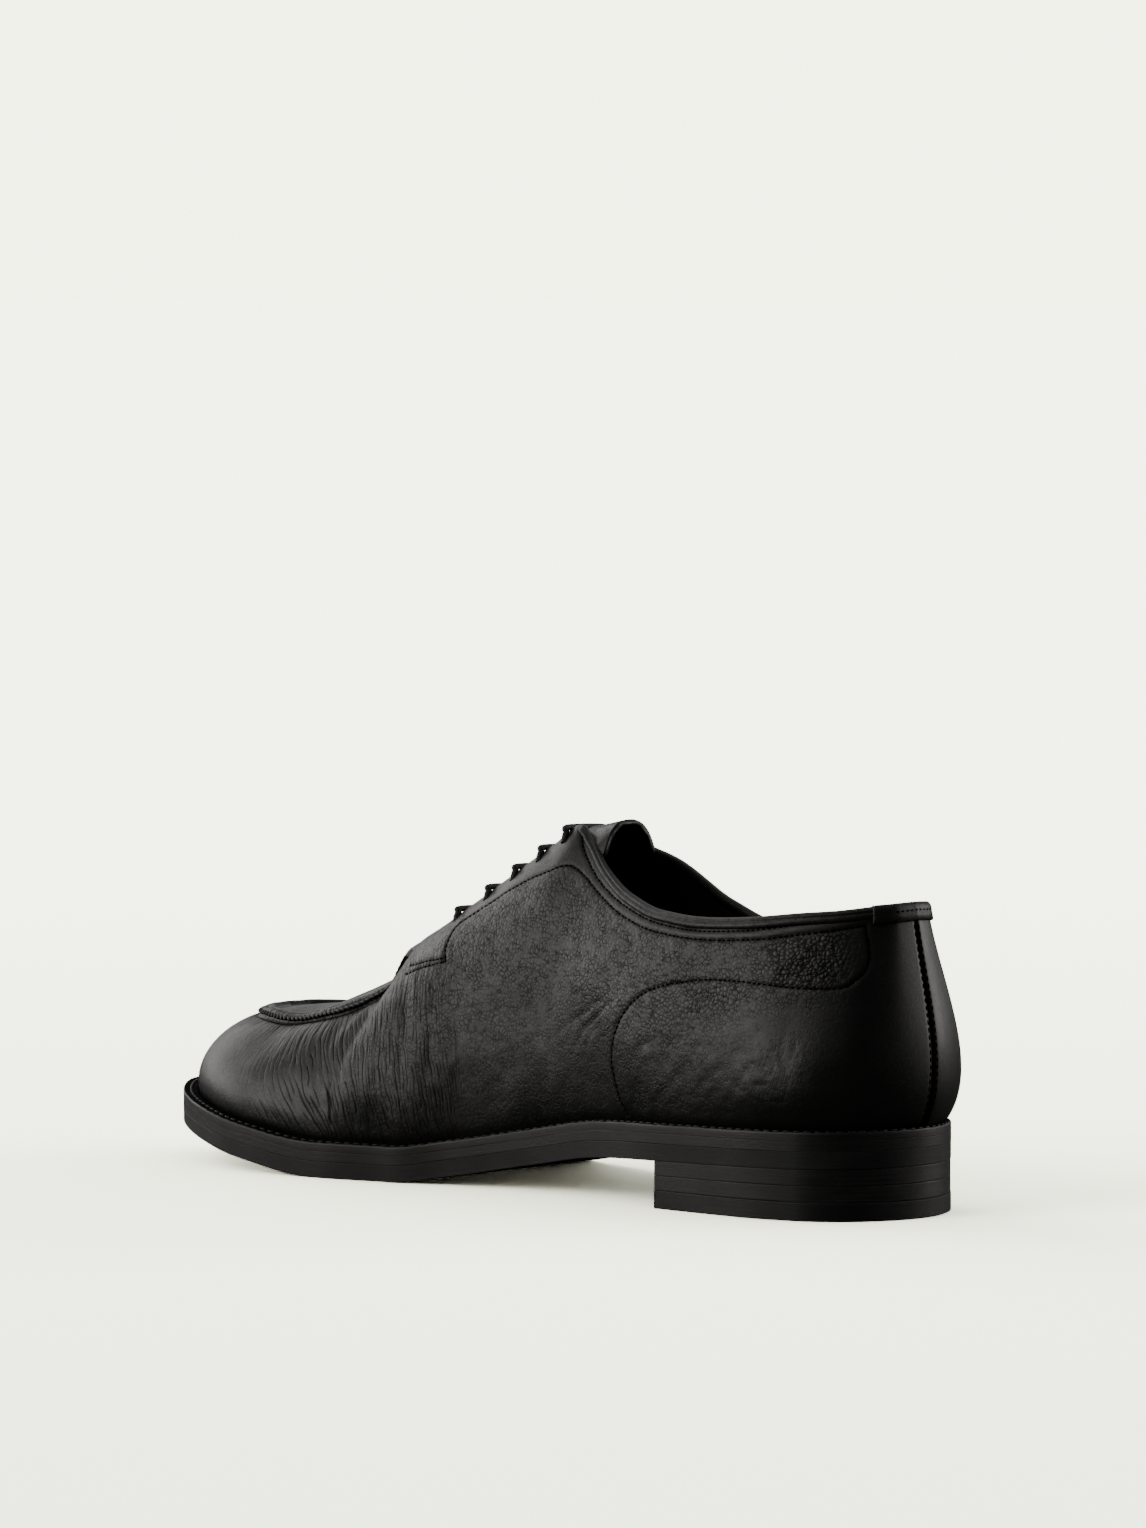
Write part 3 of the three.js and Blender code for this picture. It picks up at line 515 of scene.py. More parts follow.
@dataclass
class Shell:
    """A mesh being put together from points and faces, before it becomes an object."""

    name: str
    points: Array
    faces: Array
    caps: list[list[int]] = field(default_factory=list)
    uv: Array | None = None
    marks: dict[str, Array] = field(default_factory=dict)
    finishes: Array | None = None

    def outward(self) -> "Shell":
        """Turn the faces outwards, judged by the volume they hold."""
        p = self.points
        a, b, c, d = (p[self.faces[:, k]] for k in range(4))
        volume = np.einsum("ij,ij->", a, np.cross(b, c)) + np.einsum("ij,ij->", a, np.cross(c, d))
        if volume < 0:
            self.faces = self.faces[:, ::-1]
            self.caps = [list(reversed(cap)) for cap in self.caps]
        return self

    def build(
        self, materials: Sequence[bpy.types.Material], slot: str, replaces: Sequence[str] = (),
        cutter: bpy.types.Object | None = None,
    ) -> bpy.types.Object:
        """Make the object and put it in the scene on the shoe.

        Args:
            materials: Its finishes, in the order that finishes counts them.
            slot: The record's material slot.
            replaces: CAD nodes that it stands for.
            cutter: A body whose holes are cut out of it.

        Returns:
            The new object.
        """
        mesh = bpy.data.meshes.new(self.name)
        faces = self.faces.tolist() + self.caps
        mesh.from_pydata(in_frame(self.points).tolist(), [], faces)
        for name, values in self.marks.items():
            layer = mesh.attributes.new(name, "FLOAT", "POINT")
            layer.data.foreach_set("value", np.asarray(values, np.float32).ravel())
        if self.uv is not None:
            corners = np.zeros(len(mesh.loops), np.int64)
            mesh.loops.foreach_get("vertex_index", corners)
            layer = mesh.uv_layers.new(name="UVMap")
            layer.data.foreach_set("uv", self.uv[corners].astype(np.float32).ravel())
        if self.finishes is not None:
            kinds = np.concatenate([self.finishes, np.zeros(len(self.caps), int)]).astype(np.int32)
            mesh.polygons.foreach_set("material_index", kinds)
        for material in materials:
            mesh.materials.append(material)
        clean(mesh)
        if cutter:
            mesh = cut(mesh, cutter)
        return present(self.name, mesh, slot, replaces)


def clean(mesh: bpy.types.Mesh) -> None:
    """Join doubled corners, drop what has no area and shade smooth."""
    work = bmesh.new()
    work.from_mesh(mesh)
    bmesh.ops.remove_doubles(work, verts=work.verts, dist=2e-6)
    bmesh.ops.dissolve_degenerate(work, edges=work.edges, dist=1e-6)
    work.to_mesh(mesh)
    work.free()
    mesh.shade_smooth()
    mesh.update()


def placed(name: str, data: bpy.types.ID) -> bpy.types.Object:
    """A new object in the scene."""
    made = bpy.data.objects.new(name, data)
    bpy.context.scene.collection.objects.link(made)
    return made


def settled(holder: bpy.types.Object) -> bpy.types.Mesh:
    """The plain mesh of an object with live modifiers; the object is deleted."""
    graph = bpy.context.evaluated_depsgraph_get()
    mesh = bpy.data.meshes.new_from_object(holder.evaluated_get(graph))
    bpy.data.objects.remove(holder)
    return mesh


def cut(mesh: bpy.types.Mesh, cutter: bpy.types.Object) -> bpy.types.Mesh:
    """The mesh with the cutter's bodies taken out of it; the cutter is deleted."""
    holder = placed("cut", mesh)
    bpy.context.scene.collection.objects.link(cutter)
    modifier = holder.modifiers.new("cut", "BOOLEAN")
    modifier.operation = "DIFFERENCE"
    modifier.solver = "MANIFOLD"
    modifier.object = cutter
    before = len(mesh.polygons)
    made = settled(holder)
    bpy.data.objects.remove(cutter)
    LOG.info("holes cut: %d faces before, %d after", before, len(made.polygons))
    return made


def present(name: str, mesh: bpy.types.Mesh, slot: str, replaces: Sequence[str] = ()) -> bpy.types.Object:
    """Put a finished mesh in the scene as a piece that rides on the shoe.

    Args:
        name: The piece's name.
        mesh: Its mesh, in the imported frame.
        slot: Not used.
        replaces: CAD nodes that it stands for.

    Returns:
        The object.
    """
    piece = placed(name, mesh)
    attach(piece, "root")
    if replaces:
        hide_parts(*replaces)
    LOG.info("%s: %d faces", name, len(mesh.polygons))
    return piece


def lattice_faces(rows: int, columns: int, close_rows: bool, close_columns: bool) -> Array:
    """Quads over a grid of points numbered row by row.

    Args:
        rows: How many rows.
        columns: How many points in a row.
        close_rows: Whether the last row joins the first.
        close_columns: Whether each row is a loop.

    Returns:
        Faces by four corners.
    """
    i = np.arange(rows if close_rows else rows - 1)[:, None]
    j = np.arange(columns if close_columns else columns - 1)[None, :]
    a = i * columns + j
    b = ((i + 1) % rows) * columns + j
    c = ((i + 1) % rows) * columns + (j + 1) % columns
    d = i * columns + (j + 1) % columns
    return np.stack([a, b, c, d], -1).reshape(-1, 4)


def tube_of_loops(name: str, loops: Array, closed: bool, **extra: object) -> Shell:
    """A closed body from a row of closed loops.

    Args:
        name: The piece's name.
        loops: Loops by corners by three.
        closed: Whether the last loop joins the first; otherwise the ends are capped.
        **extra: What else the shell carries.

    Returns:
        The shell, faces outwards.
    """
    rows, columns = loops.shape[:2]
    faces = lattice_faces(rows, columns, closed, True)
    last = (rows - 1) * columns
    caps = [] if closed else [list(range(columns)), list(range(last + columns - 1, last - 1, -1))]
    return Shell(name, loops.reshape(-1, 3), faces, caps, **extra).outward()


@dataclass
class Upper:
    """The leather upper: two sides joined at the back and up the toe, the apron and the trims."""

    form: ShoeForm
    columns: int = 540
    rows: int = 132
    inner_rows: int = 14
    rim_rows: int = 6
    apron_rows: int = 150
    apron_columns: int = 84
    seam_depth: float = 0.34
    seam_width: float = 0.62
    fold_depth: float = 0.15
    # Millimetres for a whole share of the way round, as it runs by the toe and by the back
    toe_rate: float = 345
    back_rate: float = 225
    # Where the pleats begin to fan out and where they end, in millimetres from the back
    fan_start: tuple[float, float] = (208, 226)
    fan_end: tuple[float, float] = (268, 296)
    # The heel tab in the scene: below the edge, off the side, share of the solid's thickness
    tab_drop: float = 4.9
    tab_near: float = 0.3
    tab_share: float = 0.6

    def stations(self) -> Array:
        """Shares of the way along one side, closer together in front, with the corners kept."""
        z = self.form.sizes
        fine = np.linspace(0, 1, 4001)
        middle = self.form.side(fine, 0.45)
        steps = np.linalg.norm(np.diff(middle, axis=0), axis=1)
        steps *= 1 + 0.95 * ease(0.5, 0.58, fine[1:]) * (1 - 0.5 * ease(0.84, 0.92, fine[1:]))
        run = np.concatenate([[0], np.cumsum(steps)])
        even = np.interp(np.linspace(0, run[-1], self.columns), run, fine)
        for corner in (z.facing_top, z.throat):
            even[np.argmin(np.abs(even - corner))] = corner
        return even

    def shape(self) -> None:
        """Work out the smoothed outer face of both sides, toe to heel and back, then its relief."""
        ts = self.stations()
        even = np.linspace(0, 1, self.rows)
        self.ss = even + 0.05 * np.sin(np.pi * even)
        q = np.concatenate([-ts[:0:-1], ts[:-1]])
        self.line = np.concatenate([q, [1.0]])
        q[0] = 1.0
        self.q = q
        points = self.form.side(q[:, None], self.ss[None, :])
        self.base = relaxed(points, 60, 1 - ease(0.8, 0.97, self.ss), True)
        normals = grid_normals(self.base, True)
        if np.dot(normals[10, self.rows // 2], self.form.side_normal(q[10], 0.5)) < 0:
            normals = -normals
        self.normals = normals
        steps = np.linalg.norm(np.diff(self.base, axis=1), axis=2)
        self.above = np.concatenate([np.zeros((len(q), 1)), np.cumsum(steps, axis=1)], axis=1)
        self.below = self.above[:, -1:] - self.above
        gaps = np.linalg.norm(np.roll(self.base, -1, 0) - self.base, axis=2)
        middle = gaps[:, int(self.rows * 0.45)]
        way = np.concatenate([[0], np.cumsum(middle)[:-1]])
        self.run = np.where(q >= 0, way - way[self.columns - 1], way[self.columns - 1] - way)
        self.run[0] = way[self.columns - 1]
        lean = curves(LEAN_ROWS, 1)[0](np.abs(q))
        self.drift = self.run[:, None] + lean[:, None] * (1 - self.above / self.above[:, -1:])
        self.relief()
        self.outer = self.base + self.normals * self.lift[..., None]

    def away_from(
        self, way: Sequence[tuple[float, float]], side: Side, reach: float
    ) -> tuple[Array, Array, Array]:
        """Distance of the side's grid from a line drawn on it.

        Args:
            way: The line, as shares round the sole and up the side.
            side: Which side it is drawn on.
            reach: How far from the line it matters.

        Returns:
            The rows near the line, the distance of each of their points, and how far that point is
            from the line's ends, 0 at an end and 1 in the middle.
        """
        line = through(np.array(way), 220)
        points, _ = self.at(line[:, 0] * side.value, line[:, 1], self.base)
        low, high = points.min(0) - reach, points.max(0) + reach
        inside = ((self.base > low) & (self.base < high)).all(-1).any(1)
        rows = np.where(inside)[0]
        near = np.full((len(rows), self.rows), 1e3)
        best = np.zeros((len(rows), self.rows))
        for start in range(0, len(points), 20):
            gap = np.linalg.norm(self.base[rows][:, :, None] - points[start:start + 20], axis=-1)
            closer = gap.min(-1) < near
            best = np.where(closer, start + gap.argmin(-1), best)
            near = np.minimum(near, gap.min(-1))
        return rows, near, 1 - np.abs(2 * best / (len(points) - 1) - 1)

    def relief(self) -> None:
        """How far the leather stands off its plain form, and where it is folded or pebbled."""
        z = self.form.sizes
        t = np.abs(self.q)[:, None]
        s = self.ss[None, :] + 0 * t
        run, up, below = self.drift, self.above, self.below
        ridge = z.seam_height * np.clip(1 - (below / z.seam_half) ** 3, 0, 1)
        ridge -= 0.4 * bump_at(z.seam_half + 0.9, 1.2, below)
        lift = ridge * np.where(t >= z.throat, 1.0, ease(z.throat - 0.022, z.throat - 0.008, t))
        toe_span = z.toe_seam_half / self.toe_rate * 1.35
        away = (1 - t) / toe_span
        rise = np.clip(np.minimum(6 * s, 6 * (1 - s)), 0, 1)
        lift += z.toe_seam_height * np.clip(1 - away**3, 0, 1) * rise
        lift -= 0.3 * bump_at(0, 0.5, away) * rise
        facing_t = [p[0] for p in FACING_SEAM[4:]][::-1]
        facing_s = [p[1] for p in FACING_SEAM[4:]][::-1]
        facing = ease(-0.01, 0.015, s - np.interp(t, facing_t, facing_s)) * (t < 0.575)
        high, (first, full) = ease(0.5, 0.9, s), self.fan_start
        fan = ease(first + 10 * high, full + 14 * high, run) * (1 - ease(*self.fan_end, run))
        fan = fan * (0.6 + 0.4 * ease(0.95, 0.7, s))
        collar = ease(0.66, 0.7, t) * (1 - ease(3, 15, below)) * (1 - 0.5 * ease(0.88, 0.97, t))
        counter = ease(0.13, 0.2, t) * (1 - ease(0.34, 0.38, t)) * (1 - ease(0.4, 0.58, s))
        flank = ease(0.39, 0.44, t) * (1 - ease(0.585, 0.62, t)) * (1 - ease(0.3, 0.6, s))
        drawn = np.maximum(fan, collar)
        self.folds = np.clip(drawn + 0.1 * counter + 0.15 * flank, 0, 1)
        pebbles = (1 + 0 * s) * ease(0.1, 0.17, t) * (1 - 0.75 * ease(0.57, 0.66, t))
        pebbles *= 1 - 0.8 * ease(0.82, 0.92, t)
        pebbles *= 1 - 0.45 * (1 - ease(0.25, 0.55, s))
        pebbles *= 1 - 0.85 * (1 - ease(0.22, 0.32, t)) * (1 - ease(0.5, 0.72, s))
        tail = 0.6 * bump_at(0.17, 0.09, t) * bump_at(0.8, 0.16, s)
        pebbles += tail + 0.4 * bump_at(0.28, 0.07, t) * bump_at(0.62, 0.14, s)
        self.pebbles = np.clip(pebbles * (1 - 0.7 * facing) + 0.1, 0, 1.4)
        broad = ease(0.12, 0.24, t) * (1 - ease(0.72, 0.86, t)) * (1 - ease(0.8, 0.95, s))
        lift += 0.75 * broad * Noise(11)(run / 30, up / 24) + 0.3 * broad * Noise(12)(run / 11, up / 13)
        lift += 0.1 * broad * Noise(17)(run / 5.5, up / 4.5)
        phase = run / 2.5 + 0.6 * Noise(13)(run / 14, up / 20) + 0.3 * Noise(16)(run / 5, up / 12)
        fade = np.clip(0.6 + 1.2 * Noise(14)(run / 3.4, up / 9), 0, 1.2)
        valley = (0.5 + 0.5 * np.cos(2 * np.pi * phase)) ** 2
        grown = np.clip(s * 9, 0, 1)
        waves = 0.35 * Noise(15)(run / 5, up / 18) - self.fold_depth * valley * fade
        lift += drawn * waves * grown
        crumple = np.clip(1 - 4 * np.abs(Noise(18)((run - 0.5 * up) / 2.6, up / 5)), 0, 1) ** 1.5
        lift -= 0.13 * (0.8 * counter + 0.5 * flank) * crumple * grown
        # Painted shade: the seam mark darkens and dulls the leather along its foot, where it tucks in under
        # its own overhang by the welt, and below in the seams' grooves.
        self.seam = 0.9 * (1 - ease(0.01, 0.085, s)) * (1 - 0.6 * ease(0.8, 0.95, t))
        for side in Side:
            for way in SEAMS:
                rows, gap, _ = self.away_from(way, side, 4)
                groove = np.exp(-((gap / self.seam_width) ** 2))
                lift[rows] -= self.seam_depth * groove
                self.seam[rows] = np.maximum(self.seam[rows], groove)
            for way, depth, half in CREASES:
                rows, gap, inside = self.away_from(way, side, 4 * half)
                swell = np.exp(-(((gap - 2.1 * half) / (1.3 * half)) ** 2))
                lift[rows] += depth * ease(0, 0.7, inside) * (0.4 * swell - np.exp(-((gap / half) ** 2)))
        from_back = t * self.back_rate
        back = bump_at(0, 1.5, from_back)
        lift += 0.5 * (self.q[:, None] < 0) * (1 - ease(0, 13, from_back)) - 0.45 * back
        self.seam = np.maximum(self.seam, np.maximum(back, bump_at(0, 0.4, away)))
        self.lift = lift

    def at(self, q: Array, s: Array, grid: Array) -> tuple[Array, Array]:
        """Places and directions on a grid of the sides.

        Args:
            q: Ways round the sole.
            s: Shares up the side.
            grid: The grid that is read.

        Returns:
            The points, and the leather's outward directions there.
        """
        last = len(self.q)
        i = np.interp(q, self.line, np.arange(last + 1))
        j = np.interp(s, self.ss, np.arange(self.rows))
        i0, j0 = np.floor(i).astype(int), np.minimum(np.floor(j).astype(int), self.rows - 2)
        fi, fj = (i - i0)[:, None], (j - j0)[:, None]

        def read(field: Array) -> Array:
            """The field between its four corners."""
            low = field[i0 % last, j0] * (1 - fi) + field[(i0 + 1) % last, j0] * fi
            high = field[i0 % last, j0 + 1] * (1 - fi) + field[(i0 + 1) % last, j0 + 1] * fi
            return low * (1 - fj) + high * fj

        return read(grid), unit(read(self.normals))

    def row_on(self, way: Sequence[tuple[float, float]], side: Side, lift: float) -> tuple[Array, Array]:
        """A line of stitches on the leather.

        Args:
            way: The line, as shares round the sole and up the side.
            side: Which side it is on.
            lift: How far off the leather it lies.

        Returns:
            Its points and the leather's outward directions.
        """
        line = through(np.array(way), 260)
        points, normals = self.at(line[:, 0] * side.value, line[:, 1], self.outer)
        return points + normals * lift, normals

    def row_below(self, start: float, end: float, depth: float, lift: float) -> tuple[Array, Array]:
        """A line that keeps a depth below the upper edge.

        Args:
            start: Where it starts round the sole.
            end: Where it ends.
            depth: How far below the edge.
            lift: How far off the leather.

        Returns:
            Its points and the leather's outward directions.
        """
        q = np.linspace(start, end, 320)
        i = np.interp(q, self.line, np.arange(len(self.q) + 1)).round().astype(int) % len(self.q)
        s = np.array([np.interp(-depth, -self.below[k], self.ss) for k in i])
        points, normals = self.at(q, s, self.outer)
        return points + normals * lift, normals

    def side_index(self, side: Side) -> Array:
        """Rows of the loop that make one side, from the back to the toe."""
        count = len(self.q)
        back = self.columns - 1
        if side is Side.INNER:
            return np.concatenate([np.arange(back, count), [0]])
        return np.arange(back, -1, -1)

    def side_panel(self, side: Side, materials: Sequence[bpy.types.Material]) -> bpy.types.Object:
        """One side of the upper as a closed wall of leather and lining."""
        z = self.form.sizes
        pick = self.side_index(side)
        base, normal = self.base[pick], self.normals[pick]
        outer = self.outer[pick]
        q = self.q[pick]
        foot = self.form.inset(q, self.form.ledge(q))
        foot[..., 2] = self.form.midsole_top(foot[..., 0]) + z.clearance
        shares = np.linspace(1, 0, self.inner_rows)
        inner_at = np.interp(shares, self.ss, np.arange(self.rows)).round().astype(int)
        inner = base[:, inner_at] - normal[:, inner_at] * z.wall
        climb = unit(base[:, -1] - base[:, -3])
        top = outer[:, -1]
        under = inner[:, 0]
        middle, arm = (top + under) / 2, (top - under) / 2
        reach = np.linalg.norm(arm, axis=-1, keepdims=True)
        angles = np.linspace(0, math.pi, self.rim_rows + 2)[1:-1]
        rim = np.stack([middle + arm * math.cos(a) + climb * reach * math.sin(a) * 0.7 for a in angles], 1)
        inner_foot = foot - self.form.outwards(q) * z.wall
        loops = np.concatenate([foot[:, None], outer, rim, inner, inner_foot[:, None]], 1)
        columns = loops.shape[1]
        kinds = np.zeros((len(q) - 1, columns), int)
        kinds[:, self.rows + self.rim_rows + 1:] = 1
        above = np.concatenate([np.zeros((len(q), 1)), self.above[pick]], 1)
        full = np.concatenate([above, np.zeros((len(q), columns - above.shape[1]))], 1)
        drift = np.repeat(self.run[pick][:, None], columns, 1)
        drift[:, 1:self.rows + 1] = self.drift[pick]
        uv = np.stack([drift, full], -1).reshape(-1, 2) * MM
        marks = {}
        for mark in ("folds", "pebbles", "seam"):
            values = np.zeros((len(q), columns))
            values[:, 1:self.rows + 1] = getattr(self, mark)[pick]
            marks[mark] = values
        name = "side_inner" if side is Side.INNER else "side_outer"
        shell = tube_of_loops(name, loops, False, uv=uv, finishes=kinds.reshape(-1), marks=marks)
        replaced = ["upper"] if side is Side.INNER else []
        return shell.build(materials, "grained_leather", replaced, self.punches(side))

    def punches(self, side: Side) -> bpy.types.Object:
        """Pegs that cut one side's lace holes."""
        z = self.form.sizes
        work = bmesh.new()
        for t in np.linspace(z.first_hole, z.last_hole, 5):
            q = t * side.value
            s = self.form.share_below(q, z.hole_inset)
            centre, normal = self.form.side(q, s), self.form.side_normal(q, s)
            turn = Vector(normal).to_track_quat("Z", "Y").to_matrix().to_4x4()
            turn.translation = Vector(in_frame(centre))
            bmesh.ops.create_cone(work, cap_ends=True, segments=28, radius1=z.hole_radius * 0.85 * MM,
                                  radius2=z.hole_radius * 0.85 * MM, depth=9 * MM, matrix=turn)
        mesh = bpy.data.meshes.new("punches")
        work.to_mesh(mesh)
        work.free()
        return bpy.data.objects.new("punches", mesh)

    def apron(self, materials: Sequence[bpy.types.Material]) -> bpy.types.Object:
        """The apron, a closed sheet of leather between the raised seams."""
        z = self.form.sizes
        t = z.throat + (1 - z.throat) * np.linspace(0, 1, self.apron_rows) ** 0.9
        c = np.linspace(0, 1, self.apron_columns)
        c = c - 0.04 * np.sin(2 * np.pi * c)
        points = self.form.apron_point(t[:, None], c[None, :])
        normals = grid_normals(points, False)
        normals[-1] = (0, 0, 1)
        normals = np.where(normals[..., 2:] < 0, -normals, normals)
        width = np.linalg.norm(self.form.edge(t) - self.form.edge(-t), axis=-1)
        away = np.minimum(c, 1 - c)[None, :] * width[:, None]
        ridge = z.seam_height * np.clip(1 - (away / z.seam_half) ** 3, 0, 1)
        top = points + normals * ridge[..., None]
        low = (points - normals * z.wall)[:, ::-1]
        loops = np.concatenate([top, low], 1)
        shell = tube_of_loops("apron", loops, False)
        return shell.build(materials, "grained_leather")

    def binding(self, materials: Sequence[bpy.types.Material]) -> bpy.types.Object:
        """The rolled edge along the topline, from facing to facing."""
        z = self.form.sizes
        keep = np.where(np.abs(self.q) <= z.facing_top + 1e-6)[0]
        base, normal = self.base[keep], self.normals[keep]
        below = self.below[keep]
        climb = unit(base[:, -1] - base[:, -3])
        reach = self.tab_reach()
        loops = []
        for i in range(len(keep)):

            def at(depth: float, lift: float) -> Array:
                """A point of the roll, a depth below the edge and a lift off the side."""
                if depth < 0:
                    return base[i, -1] + normal[i, -1] * lift - climb[i] * depth
                place = [np.interp(-depth, -below[i], base[i, :, k]) for k in range(3)]
                facing = unit(np.array([np.interp(-depth, -below[i], normal[i, :, k]) for k in range(3)]))
                return np.array(place) + facing * lift

            d, w = z.bead_depth, z.wall
            p = (z.bead_proud + 0.15) * (0.1 + 0.9 * float(ease(0.75, 0.97, abs(self.q[keep[i]]) / reach)))
            loops.append([
                at(d, -0.3), at(d, 0.05), at(d * 0.93, p * 0.5), at(d * 0.8, p * 0.85), at(d * 0.6, p),
                at(d * 0.42, p * 0.85), at(d * 0.32, p * 0.35), at(d * 0.24, p * 0.8), at(d * 0.1, p * 0.75),
                at(-0.25, p * 0.1), at(-0.5, -w * 0.25), at(-0.55, -w * 0.5), at(-0.55, -w * 0.75),
                at(-0.25, -w), at(d * 0.2, -w - 0.4), at(d * 0.6, -w - 0.5), at(d, -w - 0.2),
                at(d, -w + 0.3),
            ])
        shell = tube_of_loops("topline_binding", np.array(loops), False)
        return shell.build(materials, "smooth_leather")

    def tab_reach(self) -> float:
        """How far round the sole the heel tab goes from the back."""
        ways = np.linspace(0, 0.3, 301)
        widths = [self.form.edge(q)[1] - self.form.edge(-q)[1] for q in ways]
        return float(ways[np.argmax(np.array(widths) >= self.form.sizes.tab_width)])

    def heel_tab(self, materials: Sequence[bpy.types.Material]) -> bpy.types.Object:
        """The strip folded over the topline at the back."""
        z = self.form.sizes
        reach = self.tab_reach()
        near, depth = self.tab_near, self.tab_drop
        inside = -z.wall - z.clearance - 0.3
        top = -0.1
        loops = []
        for turn in np.linspace(-math.pi / 2, math.pi / 2, 81):
            q = reach * (0.8 * math.sin(turn) + 0.2 * turn * 2 / math.pi)
            round_off = (1 - (q / reach) ** 2 * (abs(q) / reach) ** 22) ** 0.5
            thick = 0.05 + z.tab_thick * self.tab_share * round_off

            def at(below: float, lift: float) -> Array:
                """A point of the tab."""
                point = self.form.below(q, max(below, 0), lift)
                point[2] -= min(below, 0)
                return point

            loops.append([
                at(depth, near - 0.4), at(depth, near + thick * 0.6), at(depth - 0.35, near + thick),
                at(depth * 0.6, near + thick), at(depth * 0.3, near + thick),
                at(depth * 0.1, near + thick * 0.97), at(top, near + thick * 0.7),
                at(top - 0.6, near + thick * 0.2), at(top - 0.85, near - thick * 0.5),
                at(top - 0.95, (near + inside) / 2), at(top - 0.85, inside + thick * 0.3),
                at(top - 0.5, inside - thick * 0.4), at(0.0, inside - thick * 0.9),
                at(depth * 0.4, inside - thick), at(depth * 0.7, inside - thick),
                at(depth * 0.75, inside - thick * 0.6), at(depth * 0.75, inside + 0.5),
                at(top + 0.3, inside + 0.4), at(top + 0.1, near - 0.4),
            ])
        shell = tube_of_loops("heel_tab_strip", np.array(loops), False)
        return shell.build(materials, "smooth_leather", ["heel_tab"])


def through(points: Array, count: int) -> Array:
    """A smooth line through points, with a count of even places along it."""
    points = np.asarray(points, float)
    steps = np.linalg.norm(np.diff(points, axis=0), axis=-1)
    run = np.concatenate([[0], np.cumsum(steps.reshape(len(points) - 1, -1).mean(1))])
    out = []
    for v in np.linspace(0, run[-1], count):
        i = int(np.clip(np.searchsorted(run, v) - 1, 0, len(points) - 2))
        s = (v - run[i]) / (run[i + 1] - run[i])
        a, b = points[max(i - 1, 0)], points[i]
        c, d = points[i + 1], points[min(i + 2, len(points) - 1)]
        curve = (2 * a - 5 * b + 4 * c - d) * s**2 + (3 * b - a - 3 * c + d) * s**3
        out.append(0.5 * (2 * b + (c - a) * s + curve))
    return np.array(out)


@dataclass
class Tongue:
    """The tongue: under the apron, below the facings and out past their corners."""

    form: ShoeForm
    rows: int = 170
    columns: int = 72
    edge_steps: int = 5

    def surface(self) -> Array:
        """The tongue's upper face, as rows from the toe's end to the tip."""
        z = self.form.sizes
        rows = []
        for t in (0.675, z.throat + 0.012):
            shares = np.array([0.08, 0.2, 0.32, 0.42, 0.5, 0.58, 0.68, 0.8, 0.92])
            points = self.form.apron_point(t, shares)
            rows.append(points - np.array([0, 0, z.wall + 0.2 * z.tongue_drop]))
        for t in np.linspace(z.throat - 0.01, z.facing_top + 0.004, 11):
            depth = z.wall + float(self.form.tongue_fall(t)) * z.tongue_drop
            inner = [self.form.below(t, z.tongue_reach * part, -depth) for part in (1, 0.66, 0.33, 0)]
            outer = [self.form.below(-t, z.tongue_reach * part, -depth) for part in (0, 0.33, 0.66, 1)]
            middle = (inner[-1] + outer[0]) / 2
            middle[2] += float(self.form.tongue_rise(t)) * z.gap
            rows.append(np.array([*inner, middle, *outer]))
        last = rows[-1]
        middle = last[4]
        across = (np.arange(9) - 4) / 4
        for share, keep, arch in ((0.4, 0.86, 0.35), (0.73, 0.84, 0.7), (1, 0.74, 1.0)):
            run = share * z.tongue_tip
            row = (last - middle) * keep
            fall = np.where(across < 0, row[0, 2], row[-1, 2]) * np.abs(across) ** 2.3
            row[:, 2] = row[:, 2] * (1 - arch) + 0.8 * fall * arch
            rows.append(row + middle + np.array([-0.96 * run, 0, 0.2 * run]))
        rows = through(np.array(rows), self.rows)
        return np.array([through(row, self.columns) for row in rows])

    def build(self, materials: Sequence[bpy.types.Material]) -> bpy.types.Object:
        """Make the tongue, with rounded edges."""
        top = self.surface()
        normal = grid_normals(top, False)
        normal = np.where(normal[..., 2:].mean() < 0, -normal, normal)
        i, j = np.arange(self.rows)[:, None], np.arange(self.columns)[None, :]
        top = top + normal * (0.25 * Noise(21)(i / 16.0 + 0 * j, j / 13.0 + 0 * i))[..., None]
        thick = self.form.sizes.tongue_thick
        low = top - normal * thick
        across = unit(top[:, -1] - top[:, -2])
        back = unit(top[:, 0] - top[:, 1])
        angles = np.linspace(0, math.pi, self.edge_steps + 2)[1:-1]

        def edge(column: int, way: Array) -> Array:
            """The half round of one edge."""
            centre = (top[:, column] + low[:, column]) / 2
            arm = normal[:, column] * thick / 2
            return np.stack([centre + arm * math.cos(a) + way * thick / 2 * math.sin(a) for a in angles], 1)

        loops = np.concatenate([top, edge(-1, across), low[:, ::-1], edge(0, back)[:, ::-1]], 1)
        shell = tube_of_loops("tongue_leather", loops, False)
        return shell.build(materials, "grained_leather", ["tongue"])


